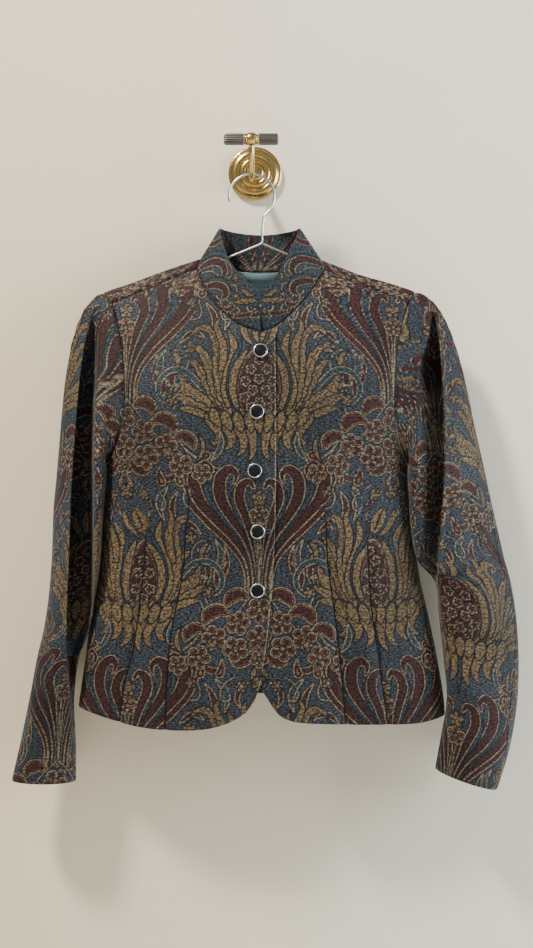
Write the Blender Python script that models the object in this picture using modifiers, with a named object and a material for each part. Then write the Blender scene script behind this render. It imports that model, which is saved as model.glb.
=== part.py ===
"""Fitted brocade jacket, buttoned, on a wire hanger that hangs from a brass wall hook.

Lengths in the tables are millimetres. The origin is the middle of the hook plate's back
face, on the wall: +X is the viewer's right, +Y goes into the wall, +Z is up.
Right and left in the names are the wearer's, so the right front is at -X.
"""
import math

import bmesh
import bpy
from mathutils import Matrix, Vector

MM = 0.001
COLLECTION = "brocade_jacket"

# Cloth
WALL = 2.4
LINING_WALL = 1.0
SEAM_GAP = 0.3
CURVED_SEAM_GAP = 0.5
COLLAR_GAP = 0.9
SEAM_SHARE = 0.002
LAP_GAP = 0.9
LINING_GAP = 1.9
WIRE_GAP = 1.9
WIRE_SINK = 1.2

# Form of the body: how the front and back round away to the sides and to the shoulder ridge
SIDE_POWER = 2.4
RIDGE_FALL = 1.6
RIDGE_ROUND = 0.72
FRONT_REACH = 200.0
BACK_REACH = 90.0
UNDERARM_Z = -384.0
SHOULDER_SEAM_SHARE = 0.075

BODY_COLUMNS = ("z", "right_side", "left_side", "middle", "front", "back")
BODY_TABLE = (
    (-715.0, -224.0, 241.0, -60.0, 47.0, 50.0),
    (-690.0, -223.0, 240.0, -60.0, 48.0, 50.0),
    (-670.0, -220.0, 238.0, -60.0, 49.0, 50.0),
    (-629.0, -214.0, 231.0, -60.0, 51.0, 49.0),
    (-577.0, -207.0, 220.5, -60.0, 53.0, 48.0),
    (-520.0, -197.0, 208.0, -60.0, 56.0, 48.0),
    (-442.0, -191.0, 198.0, -58.0, 61.0, 49.0),
    (-384.0, -188.0, 194.0, -56.0, 63.0, 48.0),
    (-300.0, -198.0, 206.0, -52.0, 62.0, 45.0),
    (-180.0, -206.0, 218.0, -49.0, 58.0, 41.0),
    (-60.0, -206.0, 218.0, -49.0, 52.0, 40.0),
)

# Top of the shoulders, carried on across the neck
RIDGE_COLUMNS = ("x", "z")
RIDGE_TABLE = (
    (-215.0, -171.0),
    (-185.0, -160.0),
    (-155.0, -150.0),
    (-109.0, -133.0),
    (-73.0, -121.0),
    (-35.0, -108.0),
    (8.0, -100.0),
    (50.0, -109.0),
    (90.0, -123.0),
    (134.0, -140.0),
    (173.0, -151.0),
    (203.0, -161.0),
    (225.0, -169.0),
)

# Edges of the cut pieces as x and z, seen from the front. Heights above the ridge are folded over it.
RIGHT_FRONT_EDGE = (
    (-10.0, -687.0),
    (4.0, -662.0),
    (10.0, -638.0),
    (18.0, -577.0),
    (24.0, -499.0),
    (26.5, -420.0),
    (26.5, -280.0),
    (26.0, -219.0),
)
RIGHT_HEM = (
    (-10.0, -687.0),
    (-30.0, -699.0),
    (-62.0, -708.0),
    (-112.0, -709.0),
    (-148.0, -705.0),
    (-185.0, -696.0),
    (-222.0, -686.0),
)
RIGHT_NECK = (
    (26.0, -219.0),
    (6.0, -218.5),
    (-20.0, -208.0),
    (-44.0, -187.0),
    (-59.0, -167.0),
    (-69.0, -147.0),
    (-74.0, -132.5),
)
LEFT_FRONT_EDGE = (
    (20.0, -685.0),
    (12.5, -663.0),
    (15.0, -638.0),
    (9.0, -600.0),
    (-6.0, -560.0),
    (-15.0, -520.0),
    (-17.0, -460.0),
    (-17.0, -300.0),
    (-16.0, -216.0),
)
LEFT_HEM = (
    (20.0, -685.0),
    (32.0, -691.0),
    (49.0, -698.0),
    (81.0, -701.0),
    (152.0, -703.0),
    (206.0, -703.0),
    (240.0, -697.0),
)
LEFT_NECK = (
    (-16.0, -216.0),
    (14.0, -216.0),
    (27.0, -210.0),
    (41.0, -198.0),
    (56.0, -183.0),
    (70.0, -166.0),
    (82.0, -147.0),
    (90.0, -134.5),
)
BACK_NECK = (
    (-70.0, -118.0),
    (-58.0, -127.0),
    (-34.0, -132.0),
    (8.0, -133.0),
    (50.0, -132.0),
    (74.0, -128.0),
    (86.0, -120.0),
)
BACK_HEM = (
    (-222.0, -686.0),
    (-110.0, -682.0),
    (8.0, -680.0),
    (120.0, -686.0),
    (240.0, -697.0),
)
RIGHT_ARMHOLE_FRONT = (
    (-192.0, -162.5),
    (-186.0, -170.0),
    (-180.0, -181.0),
    (-173.0, -205.0),
    (-166.0, -240.0),
    (-162.0, -294.0),
    (-164.0, -327.0),
    (-173.0, -359.0),
    (-188.0, -384.0),
)
RIGHT_ARMHOLE_BACK = (
    (-192.0, -162.5),
    (-184.0, -187.0),
    (-176.0, -226.0),
    (-171.0, -270.0),
    (-170.0, -312.0),
    (-176.0, -352.0),
    (-188.0, -384.0),
)
LEFT_ARMHOLE_FRONT = (
    (204.0, -161.5),
    (198.0, -171.0),
    (192.0, -184.0),
    (185.0, -208.0),
    (179.0, -240.0),
    (175.0, -294.0),
    (176.0, -327.0),
    (181.0, -357.0),
    (194.0, -384.0),
)
LEFT_ARMHOLE_BACK = (
    (204.0, -161.5),
    (196.0, -187.0),
    (188.0, -226.0),
    (183.0, -270.0),
    (182.0, -312.0),
    (185.0, -352.0),
    (194.0, -384.0),
)
LAP_EDGE_X = 27.0
LAP_RAMP = 34.0
RIGHT_FRONT = {
    "side": "right_side",
    "edge": RIGHT_FRONT_EDGE,
    "hem": RIGHT_HEM,
    "neck": RIGHT_NECK,
    "armhole": RIGHT_ARMHOLE_FRONT,
    "inner_lap": False,
    "lap_column": 1,
}
LEFT_FRONT = {
    "side": "left_side",
    "edge": LEFT_FRONT_EDGE,
    "hem": LEFT_HEM,
    "neck": LEFT_NECK,
    "armhole": LEFT_ARMHOLE_FRONT,
    "inner_lap": True,
    "lap_column": 2,
}

# Collar: its top edge from the right end of the slit, round the neck, to the left end, and how far
# along the neck seam each place stands
COLLAR_COLUMNS = ("seam", "x", "y", "z")
COLLAR_TABLE = (
    (0.0, 9.0, -98.0, -179.0),
    (0.015, 6.5, -97.0, -171.0),
    (0.06, -8.0, -92.0, -158.0),
    (0.12, -20.0, -86.0, -143.0),
    (0.18, -32.0, -77.0, -125.0),
    (0.235, -41.0, -66.0, -99.0),
    (0.285, -45.0, -53.0, -82.0),
    (0.365, -38.0, -30.0, -80.0),
    (0.435, -18.0, -16.0, -82.0),
    (0.5, 8.0, -13.0, -83.5),
    (0.565, 34.0, -16.0, -82.0),
    (0.635, 52.0, -30.0, -80.0),
    (0.715, 58.0, -53.0, -82.0),
    (0.765, 52.0, -66.0, -98.0),
    (0.82, 42.0, -77.0, -118.0),
    (0.88, 34.0, -86.0, -137.0),
    (0.94, 26.0, -92.0, -149.0),
    (0.985, 14.0, -97.0, -163.0),
    (1.0, 11.5, -98.0, -179.0),
)

# Sleeves: sections from the upper arm to the cuff. Outer and inner are what shows from the front,
# lean carries the front of a section towards the body, trough is the long fold down the front.
SLEEVE_COLUMNS = ("z", "outer", "inner", "middle", "depth", "lean", "trough", "tilt")
RIGHT_SLEEVE = (
    (-400.0, -254.0, -186.0, -62.0, 44.0, 18.0, 11.0, 0.0),
    (-442.0, -258.0, -188.0, -62.0, 44.0, 20.0, 12.0, 0.0),
    (-501.0, -260.0, -191.5, -62.0, 43.0, 20.0, 12.0, 0.0),
    (-551.0, -264.0, -199.0, -62.0, 41.0, 19.0, 10.0, 0.0),
    (-590.0, -269.5, -206.5, -61.0, 39.5, 17.0, 8.5, 0.0),
    (-625.0, -276.0, -220.5, -60.0, 38.0, 8.0, 6.5, 0.0),
    (-677.0, -285.0, -228.0, -58.0, 34.0, 4.0, 3.0, 2.0),
    (-735.0, -297.0, -226.5, -56.0, 29.0, 2.0, 0.5, 2.0),
    (-782.0, -308.0, -226.5, -55.0, 25.0, 0.0, 0.0, 1.0),
)
LEFT_SLEEVE = (
    (-400.0, 296.0, 192.0, -62.0, 44.0, 24.0, 10.0, 0.0),
    (-458.0, 309.0, 194.5, -62.0, 43.0, 28.0, 9.0, 0.0),
    (-501.0, 318.5, 203.0, -63.0, 42.0, 27.0, 6.0, 0.0),
    (-528.0, 325.0, 225.0, -63.5, 42.0, 18.0, 4.5, 0.0),
    (-572.0, 331.5, 231.0, -64.0, 41.0, 14.0, 2.0, 0.0),
    (-624.0, 335.5, 236.0, -64.0, 40.0, 18.0, 0.5, -4.0),
    (-677.0, 334.5, 240.0, -64.0, 37.0, 22.0, 0.0, -10.0),
    (-729.0, 324.0, 235.0, -62.0, 33.0, 12.0, 0.0, -19.0),
    (-779.0, 307.0, 228.0, -60.0, 28.0, 2.0, 0.0, -26.0),
)
TROUGH_SPREAD = 17.0
SEAM_ANGLE = 0.6
SLEEVE_STEP = 0.004
SLEEVES = {
    "right": {
        "table": RIGHT_SLEEVE,
        "outward": -1.0,
        "trough_angle": 98.0,
        "seam_drift": 8.0,
        "armhole_front": RIGHT_ARMHOLE_FRONT,
        "armhole_back": RIGHT_ARMHOLE_BACK,
    },
    "left": {
        "table": LEFT_SLEEVE,
        "outward": 1.0,
        "trough_angle": 86.0,
        "seam_drift": 48.0,
        "armhole_front": LEFT_ARMHOLE_FRONT,
        "armhole_back": LEFT_ARMHOLE_BACK,
    },
}

# Sleeve cap: how it leaves the armhole and falls into the first section
CAP_ROWS_SHARE = 0.42
CAP_START_FALL = -0.12
CAP_OUT = 52.0
CAP_FULL_REACH = 240.0
CAP_OUT_POWER = 0.7
CAP_RISE = 0.38

# Grids of the cloth walls, as columns and rows, and the columns and rows on which corners fall
FRONT_GRID = (14, 22)
FRONT_UNDERARM_ROW = 11
FRONT_HPS_COLUMN = 9
BACK_GRID = (20, 24)
BACK_UNDERARM_ROW = 10
BACK_RIDGE_ROW = 22
BACK_RIDGE_SHARE = 0.95
BACK_NECK_COLUMNS = 5
LINING_GRID = (10, 10)
SLEEVE_ROWS = 17
SLEEVE_LENGTHS = {"cuff": (0, 5), "arm": (5, 9), "cap": (9, 17)}
LENGTH_GAP_SHARE = 0.0005
SLEEVE_SEAM_FRONT_COLUMN = 10
SLEEVE_SEAM_BACK_COLUMN = 20
COLLAR_ROWS = 2
SIDE_GRADE = 1.6
RIDGE_GRADE = 1.5
RIDGE_TOLERANCE = 0.00001

# Lining: the edges of its cut, inside the back
LINING_HEM = ((-206.0, -657.0), (8.0, -655.0), (222.0, -668.0))
LINING_TOP = (
    (-166.0, -163.0),
    (-110.0, -143.0),
    (-76.0, -133.0),
    (-56.0, -134.0),
    (8.0, -137.0),
    (72.0, -134.0),
    (92.0, -134.0),
    (125.0, -146.0),
    (178.0, -163.0),
)
LINING_RIGHT = ((-206.0, -657.0), (-185.0, -520.0), (-174.0, -384.0), (-160.0, -300.0), (-166.0, -163.0))
LINING_LEFT = ((222.0, -668.0), (193.0, -520.0), (180.0, -384.0), (171.0, -300.0), (178.0, -163.0))

# Buttons on the lap, as x and z, top to bottom
BUTTONS = ((7.6, -243.0), (3.1, -318.0), (0.6, -390.0), (4.1, -464.0), (3.9, -536.0))
BUTTON_RADIUS = 9.0
BUTTON_RIM_WIDTH = 1.6
BUTTON_HEIGHT = 4.2
BUTTON_ROUNDING = 0.5
RIM_HEIGHT = 3.4
DOME_PROFILE = ((0.0, 1.0), (0.55, 0.94), (0.86, 0.8), (1.0, 0.6), (1.0, 0.0), (0.0, 0.0))
BUTTON_STEPS = 20

# Wire hanger
WIRE_RADIUS = 1.5
HANGER_Y = -48.8
HANGER_HOOK_RADIUS = 29.0
HANGER_HOOK_X = -4.0
HANGER_TIP_ANGLE = 192.0
HANGER_THROAT_ANGLE = -58.0
HANGER_HOOK_STEPS = 22
HANGER_FORK_X = 9.4
HANGER_NECK_Z = -84.0
HANGER_FORK_Z = -101.0
HANGER_ROOT_OUT = 4.6
HANGER_ROOT_FALL = 1.7
HANGER_BEND = ((-70.0, -133.0), (84.0, -132.0))
HANGER_ARM_STEPS = 4
HANGER_SEAT_X = (-112.0, 122.0)
HANGER_END_X = (-180.0, 191.0)
HANGER_CORNER = 4.0
HANGER_BAR_Z = -180.0

# Wall hook
PLATE_PROFILE = (
    (0.0, 12.0),
    (9.0, 12.0),
    (11.5, 11.0),
    (13.0, 9.5),
    (19.0, 9.3),
    (21.5, 8.4),
    (23.0, 7.0),
    (29.0, 6.6),
    (31.5, 5.4),
    (34.0, 4.2),
    (35.0, 2.4),
    (35.0, 0.0),
    (0.0, 0.0),
)
ARM_RADIUS = 4.4
ARM_X = -4.0
ARM_SEAT_Z = -13.5
ARM_LINE = (
    (-12.8, -5.0),
    (-19.0, -5.6),
    (-27.0, -10.0),
    (-37.0, -15.6),
    (-49.0, ARM_SEAT_Z - ARM_RADIUS),
    (-61.0, -15.0),
    (-71.0, -5.0),
    (-77.5, 7.0),
    (-79.6, 15.2),
)
ARM_STEPS = 20
BAR_CENTRE = (-4.0, -80.0, 24.0)
BAR_LENGTH = 69.0
BAR_RADIUS = 7.2
KNOB_LENGTH = 18.0
KNOB_RADIUS = 8.2
KNOB_CHAMFER = 1.6
BAR_CHAMFER = 1.2
TURNED_STEPS = 40

COLOURS = {
    "brocade": ((0.075, 0.068, 0.072), 0.72, 0.0),
    "lining": ((0.10, 0.20, 0.23), 0.40, 0.0),
    "button_black": ((0.010, 0.010, 0.012), 0.18, 0.0),
    "button_rim": ((0.62, 0.62, 0.63), 0.25, 1.0),
    "hanger_steel": ((0.66, 0.66, 0.66), 0.25, 1.0),
    "hook_brass": ((0.60, 0.43, 0.20), 0.30, 1.0),
    "hook_bronze": ((0.17, 0.14, 0.12), 0.45, 1.0),
}


def column(table, columns, name):
    """One named column of a table."""
    return [row[columns.index(name)] for row in table]


def smooth(xs, ys, x):
    """Smooth curve through a table of heights at rising places, straight beyond its ends."""
    last = len(xs) - 1
    if x <= xs[0] or x >= xs[last]:
        near, far = (0, 1) if x <= xs[0] else (last, last - 1)
        slope = (ys[far] - ys[near]) / (xs[far] - xs[near])
        return ys[near] + slope * (x - xs[near])
    index = max(i for i in range(last) if xs[i] <= x)
    width = xs[index + 1] - xs[index]
    t = (x - xs[index]) / width
    slopes = []
    for i in (index, index + 1):
        low, high = max(i - 1, 0), min(i + 1, last)
        slopes.append((ys[high] - ys[low]) / (xs[high] - xs[low]) * width)
    return (
        (2 * t**3 - 3 * t**2 + 1) * ys[index]
        + (t**3 - 2 * t**2 + t) * slopes[0]
        + (3 * t**2 - 2 * t**3) * ys[index + 1]
        + (t**3 - t**2) * slopes[1]
    )


def along(points, t):
    """Point at a share t of the way along a smooth line through the points."""
    steps = [0.0]
    for first, second in zip(points, points[1:]):
        steps.append(steps[-1] + math.dist(first, second))
    place = min(max(t, 0.0), 1.0) * steps[-1]
    return tuple(smooth(steps, list(axis), place) for axis in zip(*points))


def stretch(points, first=0.0, last=1.0):
    """An edge that runs along the points from one share of their length to another."""
    return lambda t: along(points, first + (last - first) * t)


def chain(*pieces):
    """One edge made of several sewn end to end, each given with the share at which it ends."""

    def at(t):
        begin = 0.0
        for edge, end in pieces:
            if t <= end or end == pieces[-1][1]:
                return edge((t - begin) / (end - begin))
            begin = end

    return at


def coons(bottom, top, start, end, u, v):
    """Point of a flat piece between four edges: bottom and top run with u, start and end with v."""
    result = []
    for axis in range(2):
        ruled = (1 - v) * bottom(u)[axis] + v * top(u)[axis]
        ruled += (1 - u) * start(v)[axis] + u * end(v)[axis]
        corner = (1 - u) * (1 - v) * bottom(0)[axis] + u * (1 - v) * bottom(1)[axis]
        corner += (1 - u) * v * top(0)[axis] + u * v * top(1)[axis]
        result.append(ruled - corner)
    return result


def body_value(name, z):
    """A column of the body table at a height."""
    return smooth(column(BODY_TABLE, BODY_COLUMNS, "z"), column(BODY_TABLE, BODY_COLUMNS, name), z)


def ridge_z(x):
    """Height of the shoulder ridge."""
    return smooth(column(RIDGE_TABLE, RIDGE_COLUMNS, "x"), column(RIDGE_TABLE, RIDGE_COLUMNS, "z"), x)


def across_share(x, z):
    """1 in the middle of the body and 0 at its sides."""
    right, left = body_value("right_side", z), body_value("left_side", z)
    share = min(abs(2 * x - right - left) / (left - right), 1.0)
    return (1 - share**SIDE_POWER) ** (1 / SIDE_POWER)


def below_ridge_share(drop, reach):
    """0 on the shoulder ridge and 1 from a reach below it."""
    t = min(max(drop / reach, 0.0), 1.0)
    return (1 - (1 - t) ** RIDGE_FALL) ** RIDGE_ROUND


def body_point(x, height, inner_lap=False, forward=None):
    """Outer surface of the body at a place of its unfolded cut.

    forward says whether the place is on the front. Where it is None the place belongs to the
    back, whose part above the ridge is folded over to the front.
    """
    over = height - ridge_z(x)
    on_front = over > 0 if forward is None else forward
    drop = abs(over)
    z = ridge_z(x) - drop
    seam = SEAM_GAP / 2 * min(max((drop - FRONT_REACH / 2) / FRONT_REACH, 0.0), 1.0)
    middle = body_value("middle", z)
    if not on_front:
        depth = body_value("back", z) * across_share(x, z) * below_ridge_share(drop, BACK_REACH)
        return Vector((x, middle + seam + depth, z))
    depth = body_value("front", z) * across_share(x, z) * below_ridge_share(drop, FRONT_REACH)
    if inner_lap:
        ramp = min(max((LAP_EDGE_X + LAP_RAMP - x) / LAP_RAMP, 0.0), 1.0)
        depth -= (WALL + LAP_GAP) * ramp * ramp * (3 - 2 * ramp)
    return Vector((x, middle - seam - depth, z))


def body_normal(x, height, inner_lap=False, forward=None, step=0.4):
    """Direction out of the body's surface."""
    places = [(x + dx, height + dz) for dx, dz in ((step, 0), (-step, 0), (0, step), (0, -step))]
    points = [body_point(*place, inner_lap, forward) for place in places]
    normal = (points[0] - points[1]).cross(points[2] - points[3]).normalized()
    return normal if forward else -normal


def grade(t, power):
    """Share that runs on faster at first and closes up towards 1."""
    return 1 - (1 - t) ** power


def material(slot):
    """Principled material of a slot, made once."""
    found = bpy.data.materials.get(slot)
    if found:
        return found
    colour, roughness, metallic = COLOURS[slot]
    made = bpy.data.materials.new(slot)
    made.use_nodes = True
    shader = made.node_tree.nodes["Principled BSDF"]
    shader.inputs["Base Color"].default_value = (*colour, 1.0)
    shader.inputs["Roughness"].default_value = roughness
    shader.inputs["Metallic"].default_value = metallic
    return made


def add_object(name, data, slot, collection):
    """Object of a sub-part in the jacket's collection."""
    made = bpy.data.objects.new(name, data)
    made.data.materials.append(material(slot))
    collection.objects.link(made)
    return made


def cloth_wall(name, surface, grid, slot, collection, thickness=WALL):
    """Closed wall of cloth: a grid laid on the outer surface and extruded inwards.

    surface(u, v) gives the outer point and the direction outwards, in millimetres.
    """
    bm = bmesh.new()
    inward = bm.verts.layers.float_vector.new("inward")
    bmesh.ops.create_grid(bm, x_segments=grid[0], y_segments=grid[1], size=1.0)
    for vert in bm.verts:
        point, normal = surface((vert.co.x + 1) / 2, (vert.co.y + 1) / 2)
        vert.co = point * MM
        vert[inward] = -normal * thickness * MM
    grown = bmesh.ops.extrude_face_region(bm, geom=bm.faces[:], use_keep_orig=True)
    for vert in grown["geom"]:
        if isinstance(vert, bmesh.types.BMVert):
            vert.co += vert[inward]
    bmesh.ops.recalc_face_normals(bm, faces=bm.faces[:])
    mesh = bpy.data.meshes.new(name)
    bm.to_mesh(mesh)
    bm.free()
    mesh.shade_smooth()
    mesh.set_sharp_from_angle(angle=math.radians(40))
    return add_object(name, mesh, slot, collection)


def shoulder_seam(armhole, neck_end, gap):
    """Seam in front of the ridge, from the neck to the armhole, a gap short of its line."""
    outer = along(armhole, SHOULDER_SEAM_SHARE)
    first, last = ridge_z(neck_end[0]) - neck_end[1], ridge_z(outer[0]) - outer[1]

    def at(t):
        x = neck_end[0] + (outer[0] - neck_end[0]) * t
        return x, ridge_z(x) - first - (last - first) * t - gap

    return at


def side_seam(side, hem_z):
    """Side seam from the hem to the underarm."""

    def at(t):
        z = hem_z + (UNDERARM_Z - hem_z) * t
        return body_value(side, z), z

    return at


def seam_normal(normal):
    """Direction out of the body at a side seam, shared by the two pieces sewn there."""
    return Vector((normal.x, 0.0, normal.z)).normalized()


def front_column(column):
    """Share across a front at a column of its grid."""
    return grade(column / FRONT_GRID[0], SIDE_GRADE)


def front_surface(front):
    """Outer surface of a front, cut between its lap edge, hem, side and armhole, neck and shoulder."""
    neck, hem, armhole, inner_lap = front["neck"], front["hem"], front["armhole"], front["inner_lap"]
    top = chain(
        (stretch(neck[:2]), front_column(front["lap_column"])),
        (stretch(neck[1:], 0.0, 1 - SEAM_SHARE), front_column(FRONT_HPS_COLUMN)),
        (shoulder_seam(armhole, neck[-1], SEAM_GAP), 1.0),
    )
    outer = chain(
        (side_seam(front["side"], hem[-1][1]), FRONT_UNDERARM_ROW / FRONT_GRID[1]),
        (stretch(armhole, 1.0, SHOULDER_SEAM_SHARE + SEAM_SHARE), 1.0),
    )
    bottom, start = stretch(hem), stretch(front["edge"])

    def surface(u, v):
        x, z = coons(bottom, top, start, outer, grade(u, SIDE_GRADE), v)
        normal = body_normal(x, z, inner_lap, True)
        if u == 1.0 and z <= UNDERARM_Z + 1.0:
            normal = seam_normal(normal)
        return body_point(x, z, inner_lap, True), normal

    return surface


def unfolded(x, z):
    """A place on the front, unfolded over the ridge."""
    return x, 2 * ridge_z(x) - z


def folded_up(edge):
    """An edge on the front, unfolded over the ridge."""
    return lambda t: unfolded(*edge(t))


def back_neck():
    """Neck edge of the back, from shoulder seam to shoulder seam."""
    return (unfolded(*RIGHT_NECK[-1]), *BACK_NECK, unfolded(*LEFT_NECK[-1]))


def backwards(edge):
    """The same edge, run from its other end."""
    return lambda t: edge(1 - t)


def back_row(row):
    """Share up the back at a row of its grid, closing up towards the ridge."""
    return BACK_RIDGE_SHARE * grade(row / BACK_RIDGE_ROW, RIDGE_GRADE)


def back_column(columns):
    """Share across half of the back, a number of columns from its middle."""
    return grade(columns / (BACK_GRID[0] / 2), SIDE_GRADE)


def back_side(side, hem_z, armhole_back, armhole_front):
    """Side of the back: side seam, armhole, and over the ridge to the shoulder seam."""
    return chain(
        (side_seam(side, hem_z), back_row(BACK_UNDERARM_ROW)),
        (stretch(armhole_back, 1.0, 0.0), BACK_RIDGE_SHARE),
        (folded_up(stretch(armhole_front, 0.0, SHOULDER_SEAM_SHARE)), 1.0),
    )


def back_surface():
    """Outer surface of the back, over the ridge to the shoulder seams."""
    half_neck = back_column(BACK_NECK_COLUMNS) / 2
    right_top = folded_up(shoulder_seam(RIGHT_ARMHOLE_FRONT, RIGHT_NECK[-1], 0.0))
    left_top = folded_up(shoulder_seam(LEFT_ARMHOLE_FRONT, LEFT_NECK[-1], 0.0))
    top = chain(
        (backwards(right_top), 0.5 - half_neck),
        (stretch(back_neck()), 0.5 + half_neck),
        (left_top, 1.0),
    )
    bottom = stretch(BACK_HEM)
    start = back_side("right_side", BACK_HEM[0][1], RIGHT_ARMHOLE_BACK, RIGHT_ARMHOLE_FRONT)
    end = back_side("left_side", BACK_HEM[-1][1], LEFT_ARMHOLE_BACK, LEFT_ARMHOLE_FRONT)

    def above_ridge(share, v):
        x, height = coons(bottom, top, start, end, share, v)
        return height - ridge_z(x)

    def ridge_share(share):
        """Share up a column at which it crosses the ridge, or its end where it stays behind."""
        low, high = 0.0, 1.0
        if above_ridge(share, high) <= 0:
            return high
        while high - low > RIDGE_TOLERANCE:
            middle = (low + high) / 2
            low, high = (middle, high) if above_ridge(share, middle) < 0 else (low, middle)
        return high

    def surface(u, v):
        share = (1 + math.copysign(grade(abs(2 * u - 1), SIDE_GRADE), u - 0.5)) / 2
        ridge_v = BACK_RIDGE_ROW / BACK_GRID[1]
        crossing = ridge_share(share)
        if crossing == 1.0:
            place = grade(v, RIDGE_GRADE)
        elif v <= ridge_v:
            place = crossing * grade(v / ridge_v, RIDGE_GRADE)
        else:
            place = crossing + (1 - crossing) * (v - ridge_v) / (1 - ridge_v)
        x, height = coons(bottom, top, start, end, share, place)
        normal = body_normal(x, height)
        if u in (0.0, 1.0) and height <= UNDERARM_Z + 1.0:
            normal = seam_normal(normal)
        return body_point(x, height), normal

    return surface


def lining_surface():
    """Outer surface of the back lining, laid against the inside of the back."""
    bottom, top = stretch(LINING_HEM), stretch(LINING_TOP)
    start, end = stretch(LINING_RIGHT), stretch(LINING_LEFT)

    def surface(u, v):
        x, height = coons(bottom, top, start, end, u, v)
        normal = body_normal(x, height, False, False)
        return body_point(x, height, False, False) - normal * (WALL + LINING_GAP), normal

    return surface


def sleeve_value(table, name, z):
    """A column of a sleeve's table at a height."""
    rows = table[::-1]
    return smooth(column(rows, SLEEVE_COLUMNS, "z"), column(rows, SLEEVE_COLUMNS, name), z)


def sleeve_section(sleeve, angle, z):
    """Point of a sleeve's section: angle 0 is its outer side, 90 its front, 180 its side to the body."""
    table, outward = sleeve["table"], sleeve["outward"]
    outer, inner = sleeve_value(table, "outer", z), sleeve_value(table, "inner", z)
    lean, depth = sleeve_value(table, "lean", z), sleeve_value(table, "depth", z)
    width = math.sqrt(((outer - inner) / 2) ** 2 - lean**2)
    turn = math.radians(angle)
    from_fold = (angle - sleeve["trough_angle"]) / TROUGH_SPREAD
    fold = sleeve_value(table, "trough", z) * math.exp(-(from_fold**2))
    x = (outer + inner) / 2 + outward * (width * math.cos(turn) - lean * math.sin(turn))
    y = sleeve_value(table, "middle", z) - depth * math.sin(turn) + fold
    return Vector((x, y, z + sleeve_value(table, "tilt", z) / 2 * math.cos(turn)))


def armhole_place(sleeve, angle):
    """Point and outward direction of the body at the armhole, from the ridge round to the underarm."""
    forward = angle % 360 <= 180
    line = sleeve["armhole_front"] if forward else sleeve["armhole_back"]
    share = (angle % 360) / 180 if forward else (360 - angle % 360) / 180
    place = along(line, share)
    return body_point(*place, False, forward), body_normal(*place, False, forward)


def sleeve_point(sleeve, angle, v):
    """Outer surface of a sleeve: v runs from the cuff to the armhole."""
    table = sleeve["table"]
    top_z, cuff_z = table[0][0], table[-1][0]
    body_share = 1 - CAP_ROWS_SHARE
    if v <= body_share:
        return sleeve_section(sleeve, angle, cuff_z + (top_z - cuff_z) * v / body_share)
    t = (1 - v) / CAP_ROWS_SHARE
    seam, normal = armhole_place(sleeve, angle)
    out = Vector((sleeve["outward"], 0.0, CAP_START_FALL))
    flat = 1 - max(0.0, -math.cos(math.radians(angle)))
    out = (out - out.dot(normal) * normal * flat).normalized()
    low = sleeve_section(sleeve, angle, top_z)
    rising = (low - sleeve_section(sleeve, angle, table[1][0])).normalized()
    round_hole = armhole_place(sleeve, angle + 1)[0] - armhole_place(sleeve, angle - 1)[0]
    into_hole = round_hole.cross(normal).normalized() * -sleeve["outward"]
    start = seam + into_hole * CURVED_SEAM_GAP
    reach = (low - start).length
    first = start + out * CAP_OUT * (reach / CAP_FULL_REACH) ** CAP_OUT_POWER
    second = low + rising * reach * CAP_RISE
    weights = ((1 - t) ** 3, 3 * t * (1 - t) ** 2, 3 * t**2 * (1 - t), t**3)
    return sum((p * w for p, w in zip((start, first, second, low), weights)), Vector())


def sleeve_normal(sleeve, angle, v):
    """Direction out of a sleeve's surface."""
    low, high = max(v - SLEEVE_STEP, 0.0), min(v + SLEEVE_STEP, 1.0)
    along_arm = sleeve_point(sleeve, angle, high) - sleeve_point(sleeve, angle, low)
    round_arm = sleeve_point(sleeve, angle + 1, v) - sleeve_point(sleeve, angle - 1, v)
    return round_arm.cross(along_arm).normalized() * sleeve["outward"] * -1


def sleeve_angles():
    """Angles of a sleeve's columns, each at a point of the armhole, once round from the shoulder seam."""
    front_rows = FRONT_GRID[1] - FRONT_UNDERARM_ROW
    seam = 180 * SHOULDER_SEAM_SHARE
    angles = [seam + (180 - seam) * row / front_rows for row in range(front_rows)]
    begin = back_row(BACK_UNDERARM_ROW)
    for row in range(BACK_UNDERARM_ROW, BACK_RIDGE_ROW):
        angles.append(180 + 180 * (back_row(row) - begin) / (BACK_RIDGE_SHARE - begin))
    over = BACK_GRID[1] - BACK_RIDGE_ROW
    angles += [360 + seam * row / over for row in range(over + 1)]
    return angles


def sleeve_surface(sleeve, columns, rows):
    """Outer surface of a length of a sleeve piece, between its long seams and two rows."""
    back_seam = sleeve_angles()[SLEEVE_SEAM_BACK_COLUMN]
    low = rows[0] / SLEEVE_ROWS + LENGTH_GAP_SHARE * (rows[0] > 0)
    high = rows[1] / SLEEVE_ROWS - LENGTH_GAP_SHARE * (rows[1] < SLEEVE_ROWS)

    def surface(u, length_share):
        v = low + (high - low) * length_share
        place = round(u * (len(columns) - 1))
        angle = columns[place]
        from_seam = abs((angle - back_seam + 180) % 360 - 180)
        angle += sleeve["seam_drift"] * (1 - v) * max(0.0, 1 - from_seam / 90)
        inset = {0: 1.0, len(columns) - 1: -1.0}.get(place, 0.0) * SEAM_ANGLE * (1 + v)
        return sleeve_point(sleeve, angle + inset, v), sleeve_normal(sleeve, angle, v)

    return surface


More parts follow.
